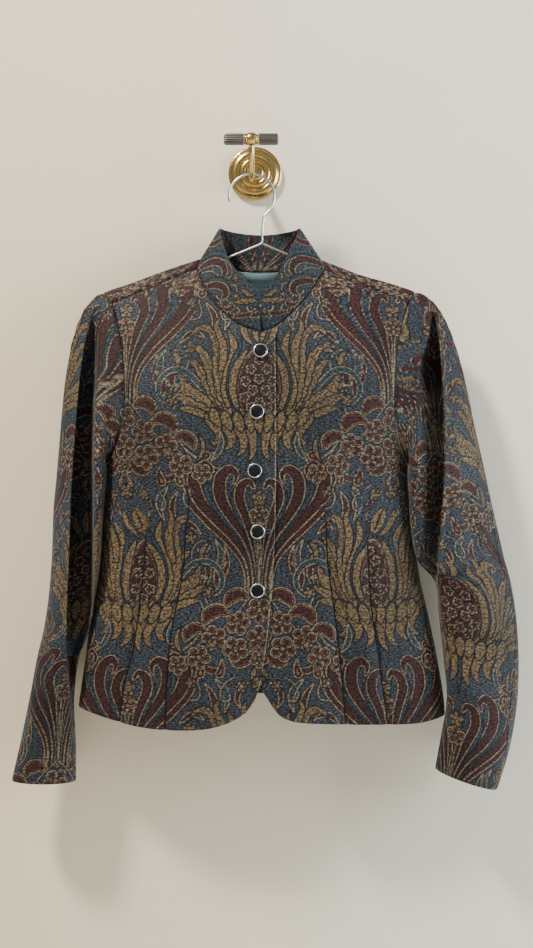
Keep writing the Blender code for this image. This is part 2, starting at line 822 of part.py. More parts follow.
def add_sleeve(name, sleeve, collection):
    """Upper and under piece of a sleeve, each in three lengths, so that their collision hulls stay thin."""
    angles = sleeve_angles()
    front, back = SLEEVE_SEAM_FRONT_COLUMN, SLEEVE_SEAM_BACK_COLUMN
    upper = [angle - 360 for angle in angles[back:-1]] + angles[: front + 1]
    pieces = {"upper": upper, "under": angles[front : back + 1]}
    for piece, columns in pieces.items():
        for length, rows in SLEEVE_LENGTHS.items():
            grid = (len(columns) - 1, rows[1] - rows[0])
            surface = sleeve_surface(sleeve, columns, rows)
            cloth_wall(f"sleeve_{name}_{piece}_{length}", surface, grid, "brocade", collection)


def neck_seam():
    """Points of the neck seam, each at a column of the fronts and the back, from slit to slit."""
    points = []
    for front, step in ((RIGHT_FRONT, 1), (LEFT_FRONT, -1)):
        first, last = front_column(front["lap_column"]), front_column(FRONT_HPS_COLUMN)
        side = []
        for place in range(front["lap_column"], FRONT_HPS_COLUMN + 1):
            share = (front_column(place) - first) / (last - first)
            point = along(front["neck"][1:], share)
            side.append(body_point(*point, front["inner_lap"], True))
        points.append(side[::step])
    half_neck = back_column(BACK_NECK_COLUMNS)
    back = []
    for place in range(1 - BACK_NECK_COLUMNS, BACK_NECK_COLUMNS):
        share = math.copysign(back_column(abs(place)) / half_neck, place)
        back.append(body_point(*along(back_neck(), (1 + share) / 2)))
    return points[0] + back + points[1]


def collar_surface(seam):
    """Outer surface of the standing collar, from the neck seam to its top edge."""
    columns = {name: column(COLLAR_TABLE, COLLAR_COLUMNS, name) for name in COLLAR_COLUMNS}
    lengths = [0.0]
    for first, second in zip(seam, seam[1:]):
        lengths.append(lengths[-1] + (second - first).length)
    shares = [reached / lengths[-1] for reached in lengths]

    def edge(place):
        """Base and top of the collar at a point of the neck seam."""
        base, share = seam[place], shares[place]
        top = Vector([smooth(columns["seam"], columns[name], share) for name in ("x", "y", "z")])
        return base + (top - base).normalized() * COLLAR_GAP, top

    def surface(u, v):
        place = round(u * (len(seam) - 1))
        base, top = edge(place)
        before, after = edge(max(place - 1, 0)), edge(min(place + 1, len(seam) - 1))
        ahead = after[0].lerp(after[1], v) - before[0].lerp(before[1], v)
        return base.lerp(top, v), (top - base).cross(ahead).normalized()

    return surface


def turned(name, profile, slot, collection, place, steps=TURNED_STEPS):
    """Turned solid: a profile of radius and height swept round the local Z axis."""
    bm = bmesh.new()
    verts = [bm.verts.new((radius * MM, 0.0, height * MM)) for radius, height in profile]
    for first, second in zip(verts, verts[1:]):
        bm.edges.new((first, second))
    if profile[0][0] > 0:
        bm.edges.new((verts[-1], verts[0]))
    mesh = bpy.data.meshes.new(name)
    bm.to_mesh(mesh)
    bm.free()
    made = add_object(name, mesh, slot, collection)
    made.matrix_world = place
    turn = made.modifiers.new("turn", "SCREW")
    turn.axis = "Z"
    turn.steps = turn.render_steps = steps
    turn.use_merge_vertices = True
    turn.merge_threshold = 0.00001
    return made


def tube(name, points, radius, slot, collection):
    """Round tube along points given in millimetres."""
    curve = bpy.data.curves.new(name, "CURVE")
    curve.dimensions = "3D"
    spline = curve.splines.new("POLY")
    spline.points.add(len(points) - 1)
    for target, point in zip(spline.points, points):
        target.co = (*(Vector(point) * MM), 1.0)
    curve.bevel_depth = radius * MM
    curve.bevel_resolution = 2
    curve.use_fill_caps = True
    return add_object(name, curve, slot, collection)


def add_buttons(collection):
    """Black buttons in plain rims, lying on the lap."""
    inner = BUTTON_RADIUS - BUTTON_RIM_WIDTH
    shoulder = BUTTON_RADIUS - BUTTON_ROUNDING
    rim = (
        (shoulder, RIM_HEIGHT),
        (BUTTON_RADIUS, RIM_HEIGHT - BUTTON_ROUNDING),
        (BUTTON_RADIUS, BUTTON_ROUNDING),
        (shoulder, 0.0),
        (inner, 0.0),
        (inner, RIM_HEIGHT),
    )
    disc = inner - SEAM_GAP
    dome = [(disc * radius, BUTTON_HEIGHT * height) for radius, height in DOME_PROFILE]
    for number, (x, z) in enumerate(BUTTONS, 1):
        normal = body_normal(x, z, False, True)
        seat = body_point(x, z, False, True) + normal * SEAM_GAP
        place = Matrix.Translation(seat * MM) @ normal.to_track_quat("Z", "Y").to_matrix().to_4x4()
        turned(f"button_{number}", dome, "button_black", collection, place, BUTTON_STEPS)
        turned(f"rim_{number}", rim, "button_rim", collection, place, BUTTON_STEPS)


def hanger_arm(bend, seat_x, end_x):
    """One shoulder of the hanger, from the fork to its end, as places seen from the front."""
    side = math.copysign(1.0, end_x)
    root_x = HANGER_FORK_X + side * HANGER_ROOT_OUT
    root = (root_x, HANGER_FORK_Z - HANGER_ROOT_FALL)
    line = [root, bend]
    for step in range(HANGER_ARM_STEPS + 1):
        share = step / HANGER_ARM_STEPS
        x = seat_x + (end_x - seat_x) * share
        line.append((x, ridge_z(x) - WALL - WIRE_GAP - WIRE_SINK * share - WIRE_RADIUS))
    corner = end_x + side * HANGER_CORNER
    bar_z = HANGER_BAR_Z
    line += [(corner, line[-1][1] - HANGER_CORNER), (corner, bar_z + HANGER_CORNER), (end_x, bar_z)]
    return line


def add_hanger(collection):
    """Hanger bent from one wire: hook, neck, one shoulder, the bar and the other shoulder."""
    hook_z = ARM_SEAT_Z + SEAM_GAP + WIRE_RADIUS - HANGER_HOOK_RADIUS
    line = []
    for step in range(HANGER_HOOK_STEPS + 1):
        sweep = HANGER_THROAT_ANGLE - HANGER_TIP_ANGLE
        angle = math.radians(HANGER_TIP_ANGLE + sweep * step / HANGER_HOOK_STEPS)
        x = HANGER_HOOK_X + HANGER_HOOK_RADIUS * math.cos(angle)
        line.append((x, hook_z + HANGER_HOOK_RADIUS * math.sin(angle)))
    line += [(HANGER_FORK_X, HANGER_NECK_Z), (HANGER_FORK_X, HANGER_FORK_Z)]
    line += hanger_arm(HANGER_BEND[0], HANGER_SEAT_X[0], HANGER_END_X[0])
    line += hanger_arm(HANGER_BEND[1], HANGER_SEAT_X[1], HANGER_END_X[1])[::-1]
    points = [(x, HANGER_Y, z) for x, z in line]
    tube("hanger_wire", points, WIRE_RADIUS, "hanger_steel", collection)


def add_wall_hook(collection):
    """Stepped plate, upturned arm, and a cross bar with a knob in its middle."""
    to_front = Matrix.Rotation(math.radians(90), 4, "X")
    turned("hook_plate", PLATE_PROFILE, "hook_brass", collection, to_front)
    arm = [along(ARM_LINE, step / ARM_STEPS) for step in range(ARM_STEPS + 1)]
    tube("hook_arm", [(ARM_X, y, z) for y, z in arm], ARM_RADIUS, "hook_brass", collection)
    centre = Matrix.Translation(Vector(BAR_CENTRE) * MM)
    half = KNOB_LENGTH / 2
    knob = (
        (0.0, half),
        (KNOB_RADIUS - KNOB_CHAMFER, half),
        (KNOB_RADIUS, half - KNOB_CHAMFER),
        (KNOB_RADIUS, KNOB_CHAMFER - half),
        (KNOB_RADIUS - KNOB_CHAMFER, -half),
        (0.0, -half),
    )
    to_side = Matrix.Rotation(math.radians(90), 4, "Y")
    turned("hook_knob", knob, "hook_brass", collection, centre @ to_side)
    reach, root = BAR_LENGTH / 2, half + SEAM_GAP
    bar = (
        (0.0, reach),
        (BAR_RADIUS - BAR_CHAMFER, reach),
        (BAR_RADIUS, reach - BAR_CHAMFER),
        (BAR_RADIUS, root),
        (0.0, root),
    )
    turned("hook_bar_left", bar, "hook_bronze", collection, centre @ to_side)
    to_other = Matrix.Rotation(math.radians(-90), 4, "Y")
    turned("hook_bar_right", bar, "hook_bronze", collection, centre @ to_other)


def main():
    for found in list(bpy.data.objects):
        bpy.data.objects.remove(found, do_unlink=True)
    collection = bpy.data.collections.new(COLLECTION)
    bpy.context.scene.collection.children.link(collection)

    cloth_wall("front_right", front_surface(RIGHT_FRONT), FRONT_GRID, "brocade", collection)
    cloth_wall("front_left", front_surface(LEFT_FRONT), FRONT_GRID, "brocade", collection)
    cloth_wall("back", back_surface(), BACK_GRID, "brocade", collection)
    cloth_wall("lining_back", lining_surface(), LINING_GRID, "lining", collection, LINING_WALL)
    for name, sleeve in SLEEVES.items():
        add_sleeve(name, sleeve, collection)
    seam = neck_seam()
    cloth_wall("collar", collar_surface(seam), (len(seam) - 1, COLLAR_ROWS), "brocade", collection)
    add_buttons(collection)
    add_hanger(collection)
    add_wall_hook(collection)


main()
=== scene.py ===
import math

import bpy
import numpy as np
from mathutils import Matrix, Vector


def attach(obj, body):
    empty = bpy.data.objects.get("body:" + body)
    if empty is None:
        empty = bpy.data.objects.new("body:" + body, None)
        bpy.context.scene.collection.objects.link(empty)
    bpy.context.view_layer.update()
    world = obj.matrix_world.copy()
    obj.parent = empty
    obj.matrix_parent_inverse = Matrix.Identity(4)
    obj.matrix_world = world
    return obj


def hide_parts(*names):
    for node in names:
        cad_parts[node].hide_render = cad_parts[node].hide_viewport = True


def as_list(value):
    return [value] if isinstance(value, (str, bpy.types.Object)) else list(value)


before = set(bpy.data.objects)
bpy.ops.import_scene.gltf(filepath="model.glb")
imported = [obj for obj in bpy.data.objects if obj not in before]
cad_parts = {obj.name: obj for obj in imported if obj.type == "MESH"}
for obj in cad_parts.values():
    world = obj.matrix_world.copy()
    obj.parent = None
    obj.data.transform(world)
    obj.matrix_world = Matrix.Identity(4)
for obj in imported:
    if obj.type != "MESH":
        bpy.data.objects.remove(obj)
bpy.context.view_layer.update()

# Look of the brocade jacket on its wire hanger and wall hook.
# Lengths in the tables are millimetres, in the part's frame: +X is the viewer's right, +Y goes into the
# wall, +Z is up. Right and left in the names are the wearer's. The tables of form follow those of part.py,
# but the collar's front ends, the hem corners, the left front's hidden edge and the lining's top are closer
# to the photo.
MM = 0.001
LEAST_LENGTH = 1e-9
BODY = "root"
OUTWARD = {"right": -1.0, "left": 1.0}

# Walls of cloth and the gaps between them
WALL = 2.4
CLOTH_THICKNESS, SLEEVE_THICKNESS, COLLAR_THICKNESS, LINING_THICKNESS = 1.6, 1.2, 1.8, 1.0
SEAM_GAP, CURVED_SEAM_GAP, LAP_GAP, LINING_GAP = 0.3, 0.5, 0.9, 1.9
COLLAR_TUCK = 1.2
SEAM_SHARE = 0.002

# Rows and columns of a cloth piece's outer grid to each row and column of its inner one
INNER_STEPS, SLEEVE_INNER_STEPS = (2, 2), (4, 1)

# Body by height: its sides in x, its middle in y, and how far it reaches to the front and back
BODY_TABLE = (
    (-715, -224, 241, -60, 47, 50),
    (-690, -223, 240, -60, 48, 50),
    (-670, -220, 238, -60, 49, 50),
    (-629, -214, 231, -60, 51, 49),
    (-577, -207, 220.5, -60, 53, 48),
    (-520, -197, 208, -60, 56, 48),
    (-442, -191, 198, -58, 61, 49),
    (-384, -188, 194, -56, 63, 48),
    (-300, -198, 206, -52, 62, 45),
    (-180, -206, 218, -49, 58, 41),
    (-60, -206, 218, -49, 52, 40),
)
BODY_COLUMNS = dict(zip(("z", "right", "left", "middle", "front", "back"), zip(*BODY_TABLE)))
SIDE_POWER = 2.4
NORMAL_STEP = 0.4

# Shoulder ridge as x and z, and how the front and back round off below it
RIDGE_TABLE = (
    (-215, -171), (-185, -160), (-155, -150), (-109, -133), (-73, -121), (-35, -108), (8, -100),
    (50, -109), (90, -123), (134, -140), (173, -151), (203, -161), (225, -169),
)
RIDGE_FALL, RIDGE_ROUND = 1.6, 0.72
FRONT_REACH, BACK_REACH = 200.0, 90.0
UNDERARM_Z = -384.0
SHOULDER_SEAM_SHARE = 0.075

# Edges of the cut pieces, as x and z
EDGES = {
    "right": {
        "lap": (
            (-10, -687), (-1, -674), (4.5, -662), (10, -638), (18, -577), (24, -499), (26.5, -420),
            (26.5, -280), (26, -219),
        ),
        "hem": (
            (-10, -687), (-30, -699), (-62, -708), (-112, -709), (-148, -705), (-185, -696), (-222, -686),
        ),
        "neck": (
            (26, -219), (7.6, -218.6), (-20, -208), (-44, -187), (-59, -167), (-69, -147), (-74, -132.5),
        ),
        "armhole_front": (
            (-192, -162.5), (-186, -170), (-180, -181), (-173, -205), (-166, -240), (-162, -294),
            (-164, -327), (-173, -359), (-188, -384),
        ),
        "armhole_back": (
            (-192, -162.5), (-184, -187), (-176, -226), (-171, -270), (-170, -312), (-176, -352),
            (-188, -384),
        ),
    },
    "left": {
        "lap": (
            (24, -683), (16.5, -671), (9.5, -659), (5, -642), (-2, -605), (-10, -560), (-15, -520),
            (-17, -460), (-17, -300), (-16, -216),
        ),
        "hem": (
            (24, -683), (30, -690), (38, -695), (52, -699), (81, -701), (152, -703), (206, -703),
            (240, -697),
        ),
        "neck": (
            (-16, -216), (11.6, -216.3), (27, -210), (41, -198), (56, -183), (70, -166), (82, -147),
            (90, -134.5),
        ),
        "armhole_front": (
            (204, -161.5), (198, -171), (192, -184), (185, -208), (179, -240), (175, -294), (176, -327),
            (181, -357), (194, -384),
        ),
        "armhole_back": (
            (204, -161.5), (196, -187), (188, -226), (183, -270), (182, -312), (185, -352), (194, -384),
        ),
    },
}
BACK_NECK = ((-70, -118), (-58, -127), (-34, -132), (8, -133), (50, -132), (74, -128), (86, -120))
BACK_HEM = ((-222, -686), (-110, -682), (8, -680), (120, -686), (240, -697))
LINING_HEM = ((-206, -657), (8, -655), (222, -668))
LINING_TOP = (
    (-166, -163), (-110, -143), (-76, -130), (-56, -130.4), (8, -133.2), (72, -130.4), (92, -131),
    (125, -146), (178, -163),
)
LINING_RIGHT = ((-206, -657), (-185, -520), (-174, -384), (-160, -300), (-166, -163))
LINING_LEFT = ((222, -668), (193, -520), (180, -384), (171, -300), (178, -163))
LINING_GRID = (90, 120)

# Step of the left front in under the lap: x up to which it is whole, and width of its slope
LAP_EDGE_X, LAP_RAMP = 27.0, 34.0

# Grids of the fronts: shares of the top edge where the lap and the neck end, columns of each stretch, rows
SIDE_GRADE, TOP_STEPS = 1.6, 14
LAP_SHARES = {"right": 1 - (13 / TOP_STEPS) ** SIDE_GRADE, "left": 1 - (12 / TOP_STEPS) ** SIDE_GRADE}
NECK_END_SHARE = 1 - (5 / TOP_STEPS) ** SIDE_GRADE
FRONT_COLUMNS = {"right": (16, 104, 48), "left": (34, 98, 48)}
FRONT_COLUMN_POWERS = (1.0, 1.0, 1.8)
FRONT_UNDERARM_SHARE = 0.5
FRONT_ROWS = 400

# Grid of the back: half the neck's share of the top edge, columns of a shoulder and half the neck, rows of
# the side, the armhole and the strip in front of the ridge
BACK_NECK_SHARE = (1 - 0.5**SIDE_GRADE) / 2
BACK_COLUMNS, BACK_COLUMN_POWERS = (46, 72, 72, 46), (-1.8, 1.0, 1.0, 1.8)
BACK_ROWS, BACK_ROW_POWERS = (150, 126, 36), (1.0, 1.4, 1.0)
BACK_RIDGE_SHARE = 0.95
ABOVE_UNDERARM, BACK_ROW_GRADE = 12 / 22, 1.5
UNDERARM_ROW_SHARE = BACK_RIDGE_SHARE * (1 - ABOVE_UNDERARM**BACK_ROW_GRADE)

# Top edge of the collar: share of the way round from the right front end, x, y and z
COLLAR_TABLE = (
    (0, 5.4, -98, -169.5),
    (0.015, 2.5, -97, -165.5),
    (0.06, -8, -92, -155.5),
    (0.12, -20, -86, -143),
    (0.18, -32, -77, -125),
    (0.235, -41, -66, -99),
    (0.285, -45, -53, -82),
    (0.365, -38, -30, -80),
    (0.435, -18, -16, -82),
    (0.5, 8, -13, -83.5),
    (0.565, 34, -16, -82),
    (0.635, 52, -30, -80),
    (0.715, 58, -53, -82),
    (0.765, 52, -66, -98),
    (0.82, 42, -77, -118),
    (0.88, 34, -86, -137),
    (0.94, 26, -92, -149),
    (0.985, 11.5, -97, -164),
    (1, 7.8, -98, -169.5),
)
COLLAR_GRID = (320, 40)
NECK_STEPS = 80

# Sleeves by height: z, x of the outer and inner side, y of the middle, half depth, lean, trough, tilt
SLEEVES = {
    "right": {
        "trough_angle": 98.0,
        "square": 0.7,
        "seam_drift": 8.0,
        "table": (
            (-400, -254, -186, -62, 44, 18, 11, 0),
            (-442, -258, -188, -62, 44, 20, 12, 0),
            (-501, -260, -191.5, -62, 43, 20, 12, 0),
            (-551, -264, -199, -62, 41, 19, 10, 0),
            (-590, -269.5, -206.5, -61, 39.5, 17, 8.5, 0),
            (-625, -276, -220.5, -60, 38, 8, 6.5, 0),
            (-677, -285, -228, -58, 34, 4, 3, 2),
            (-735, -297, -226.5, -56, 29, 2, 0.5, 2),
            (-782, -308, -226.5, -55, 25, 0, 0, 1),
        ),
    },
    "left": {
        "trough_angle": 86.0,
        "square": 1.0,
        "seam_drift": 48.0,
        "table": (
            (-400, 296, 192, -62, 44, 24, 10, 0),
            (-458, 309, 194.5, -62, 43, 28, 9, 0),
            (-501, 318.5, 203, -63, 42, 27, 6, 0),
            (-528, 325, 225, -63.5, 42, 18, 4.5, 0),
            (-572, 331.5, 231, -64, 41, 14, 2, 0),
            (-624, 335.5, 236, -64, 40, 18, 0.5, -4),
            (-677, 334.5, 240, -64, 37, 22, 0, -10),
            (-729, 324, 235, -62, 33, 12, 0, -19),
            (-779, 307, 228, -60, 28, 2, 0, -26),
        ),
    },
}
TROUGH_SPREAD, TROUGH_KEPT = 17.0, 0.25
SLEEVE_SEAMS = (164.86, 337.5)
SEAM_ANGLE, SEAM_DRIFT_SPAN = 0.12, 90
RIDGE_SPAN, SQUARE_SPAN = 14.0, 34.0
CAP_ROWS_SHARE, CAP_START_FALL, CAP_RISE = 0.42, -0.12, 0.38
CAP_OUT, CAP_FULL_REACH, CAP_OUT_POWER = 52.0, 240.0, 0.7
SLEEVE_ROWS = 420
SLEEVE_FINE = 3
SLEEVE_PARTS = {"upper": (SLEEVE_SEAMS[1] - 360, SLEEVE_SEAMS[0], 84), "under": (*SLEEVE_SEAMS, 60)}
SLEEVE_PATTERN = {
    "right": {"upper": (25.0, 1035.0), "under": (195.0, 1035.0)},
    "left": {"upper": (-24.0, 970.0), "under": (146.0, 970.0)},
}

# Darts of the fronts, top to hem, as x and z, and how much cloth they take up by height
DARTS = {
    "right": (
        ((-90, -379), (-80, -423), (-84, -466), (-88, -517), (-101, -583), (-107, -637), (-110, -709)),
        ((-130, -427), (-135, -492), (-142, -557), (-151, -616), (-160, -650), (-168, -702)),
    ),
    "left": (
        ((82, -414), (87, -450), (90, -502), (97, -553), (104, -607), (113, -703)),
        ((135, -433), (138, -467), (142, -526), (146, -571), (153, -615), (157, -648), (166, -704)),
    ),
}
DART_INTAKE = ((-720, 5), (-640, 9), (-560, 16), (-500, 18), (-450, 11), (-405, 2), (-375, 0))
DART_DEPTH, DART_WIDTH = 1.5, 1.7
DART_HOLLOW_DEPTH, DART_HOLLOW_WIDTH = 1.3, 6.0
DART_TAPER, DART_LEAST = 60.0, 0.02

# Soft ridges and troughs: a line as x and z, half width, height (less than 0 goes inwards)
FRONT_FOLDS = {
    "right": (
        (((-88, -322), (-93, -385), (-91, -450), (-95, -508)), 7, 3.8),
        (((-112, -296), (-117, -360), (-114, -424), (-120, -500)), 9, -1.8),
        (((-150, -330), (-150, -402), (-158, -474)), 9, 1.6),
        (((-42, -290), (-47, -380), (-44, -470), (-52, -566)), 14, -1.1),
        (((-18, -556), (-58, -546), (-98, -553)), 8, -0.9),
        (((-180, -502), (-152, -509), (-120, -500)), 6.5, -1.3),
        (((-184, -466), (-158, -459), (-134, -470)), 7, 0.9),
        (((-136, -590), (-142, -648), (-148, -706)), 11, 2),
        (((-60, -606), (-64, -660), (-66, -708)), 14, 1.7),
        (((-184, -606), (-192, -650), (-200, -692)), 8, -1.7),
        (((-124, -176), (-136, -226), (-142, -288)), 11, -1.7),
        (((-62, -236), (-98, -264), (-142, -316)), 12, 1.2),
        (((-170, -366), (-150, -392), (-126, -424)), 5.5, -2),
        (((-160, -352), (-138, -370), (-116, -392)), 6, -1),
        (((12, -560), (-8, -610), (-26, -672)), 10, -1),
    ),
    "left": (
        (((88, -330), (93, -396), (92, -452), (97, -520)), 8, 2.6),
        (((120, -300), (122, -372), (116, -430), (121, -506)), 10, -1.6),
        (((152, -336), (156, -404), (160, -486)), 9, 1.5),
        (((48, -286), (54, -372), (50, -470), (60, -572)), 13, -1.2),
        (((30, -540), (62, -534), (92, -542)), 7, -0.9),
        (((192, -512), (166, -520), (142, -512)), 7, -1.4),
        (((190, -476), (170, -468), (146, -474)), 6.5, 0.9),
        (((136, -588), (142, -640), (146, -702)), 10, 1.8),
        (((70, -600), (76, -650), (78, -700)), 13, 1.5),
        (((200, -600), (206, -652), (212, -702)), 9, -1.8),
        (((136, -176), (148, -228), (156, -292)), 11, -1.8),
        (((80, -232), (114, -262), (152, -306)), 12, 1.1),
        (((176, -368), (158, -394), (132, -428)), 5.5, -1.9),
        (((166, -350), (146, -372), (122, -396)), 6, -0.9),
    ),
}
BACK_FOLDS = (
    (((-96, -190), (-110, -270), (-104, -360), (-98, -470)), 15, -2.4),
    (((104, -196), (120, -280), (116, -372), (108, -480)), 16, -2.2),
    (((-150, -230), (-146, -300), (-152, -372)), 10, -2),
    (((160, -236), (154, -312), (160, -380)), 10, -1.8),
    (((-40, -150), (4, -172), (52, -152)), 12, -1.6),
    (((-28, -250), (-34, -340), (-26, -440), (-38, -560)), 18, 1.6),
    (((46, -256), (52, -360), (44, -470), (56, -580)), 17, 1.5),
    (((-150, -488), (-100, -502), (-44, -496)), 9, -1.8),
    (((-30, -512), (24, -520), (80, -508)), 9, -1.5),
    (((70, -486), (124, -498), (172, -488)), 8, -1.9),
    (((-170, -528), (-118, -536), (-70, -530)), 8, -1.2),
    (((-124, -570), (-132, -630), (-138, -684)), 15, 2.2),
    (((-40, -590), (-44, -640), (-44, -682)), 16, -1.8),
    (((66, -586), (70, -640), (74, -684)), 15, 2),
    (((150, -576), (160, -636), (168, -690)), 14, -2.1),
)
LINING_FOLDS = (
    (((-30, -138), (-36, -190), (-30, -260)), 7, -1.2),
    (((0, -140), (6, -200), (-4, -290)), 8, 0.8),
    (((36, -138), (30, -180), (38, -250)), 6, -1.4),
    (((58, -140), (52, -210), (60, -300)), 9, -1),
    (((-60, -150), (-54, -220), (-62, -320)), 9, -1.1),
    (((-100, -300), (-40, -330), (30, -322)), 12, -1.2),
    (((-20, -400), (50, -420), (120, -410)), 12, -1.2),
    (((-120, -470), (-60, -486), (10, -480)), 11, -1),
    (((-60, -520), (-64, -590), (-58, -650)), 14, -1.2),
    (((70, -520), (64, -590), (76, -650)), 14, -1.2),
)
SLEEVE_CREASES = {
    "right": (
        (((-268, -598), (-254, -632), (-236, -660)), 7, -3),
        (((-280, -652), (-262, -676), (-240, -690)), 8, -2.2),
        (((-252, -420), (-244, -470), (-247, -530)), 6, -1.6),
        (((-290, -700), (-272, -722), (-248, -730)), 9, 1.6),
        (((-196, -420), (-199, -480), (-204, -540)), 6, 1.8),
        (((-180, -240), (-186, -300), (-188, -360)), 8, 2.6),
    ),
    "left": (
        (((252, -300), (262, -370), (270, -440), (276, -520)), 9, -3),
        (((268, -380), (282, -450), (292, -530)), 10, 2),
        (((232, -520), (252, -548), (284, -560)), 9, -3.2),
        (((246, -590), (272, -604), (306, -598)), 9, -2.4),
        (((244, -640), (262, -662), (292, -668)), 10, 2),
        (((300, -470), (310, -540), (316, -610)), 11, -2.6),
        (((256, -690), (280, -708), (306, -706)), 10, -1.6),
    ),
}
SLEEVE_BACK_CREASES = {
    "right": (
        (((-218, -330), (-224, -410), (-228, -500)), 11, -4),
        (((-200, -560), (-226, -576), (-256, -566)), 9, -3),
        (((-212, -606), (-238, -624), (-268, -616)), 9, -2.4),
        (((-244, -420), (-248, -520), (-258, -620)), 10, 2.4),
        (((-230, -660), (-256, -676), (-284, -668)), 10, -1.8),
    ),
    "left": (
        (((226, -330), (236, -420), (250, -510)), 12, -4.2),
        (((240, -556), (272, -574), (310, -566)), 10, -3.2),
        (((246, -604), (280, -622), (318, -612)), 9, -2.6),
        (((286, -400), (296, -490), (304, -580)), 12, 2.6),
        (((248, -668), (280, -682), (318, -676)), 10, -1.8),
    ),
}
CREASE_STEPS, CREASE_REACH, CREASE_FADE = 28, 3, 0.35
FACING_FADE = 0.5

# The long fold of each sleeve, by height: z, x of its sharp ridge, x of the other side, depth
SLEEVE_FOLDS = {
    "right": (
        (-735, -230, -204, 0), (-690, -230, -202, 7), (-640, -231, -201, 18), (-579, -231, -200, 34),
        (-503, -228, -199, 43), (-442, -226, -199, 45), (-385, -223, -199, 45), (-318, -220, -199, 40),
        (-275, -218, -198, 31), (-235, -214, -197, 19), (-205, -209, -196, 8), (-180, -204, -195, 0),
    ),
    "left": (
        (-640, 226, 212, 0), (-580, 226, 208, 7), (-520, 226, 202, 17), (-465, 228, 200, 28),
        (-408, 232, 200, 36), (-363, 234, 200, 38), (-329, 234, 201, 38), (-284, 234, 203, 34),
        (-250, 233, 209, 31), (-215, 232, 221, 21), (-182, 230, 225, 2),
    ),
}
RIGHT_FOLD_RIDGE, RIGHT_FOLD_OTHER = (-1, 4), (-7, 3)
LEFT_FOLD_RIDGE, LEFT_FOLD_FLOOR = (-5, 1), 4
LEFT_FOLD_POWER = ((-310.0, -262.0), (1.4, 0.5))
RIDGE_LIFT, RIDGE_WIDTH, RIDGE_FULL_DEPTH = 3.0, 5.0, 14
UNDERCUT, FULL_DEPTH = 15.0, 40.0

# Turns of the cloth into a seam or over an edge: depth and width
SEAM_ROLL, BACK_SEAM_ROLL, EDGE_ROLL = (1.5, 2.2), (1.3, 2.2), (0.7, 1.6)
SLEEVE_SEAM_ROLL, COLLAR_SEAM_ROLL, COLLAR_EDGE_ROLL = (0.6, 1.6), (2.6, 2.6), (0.6, 1.5)

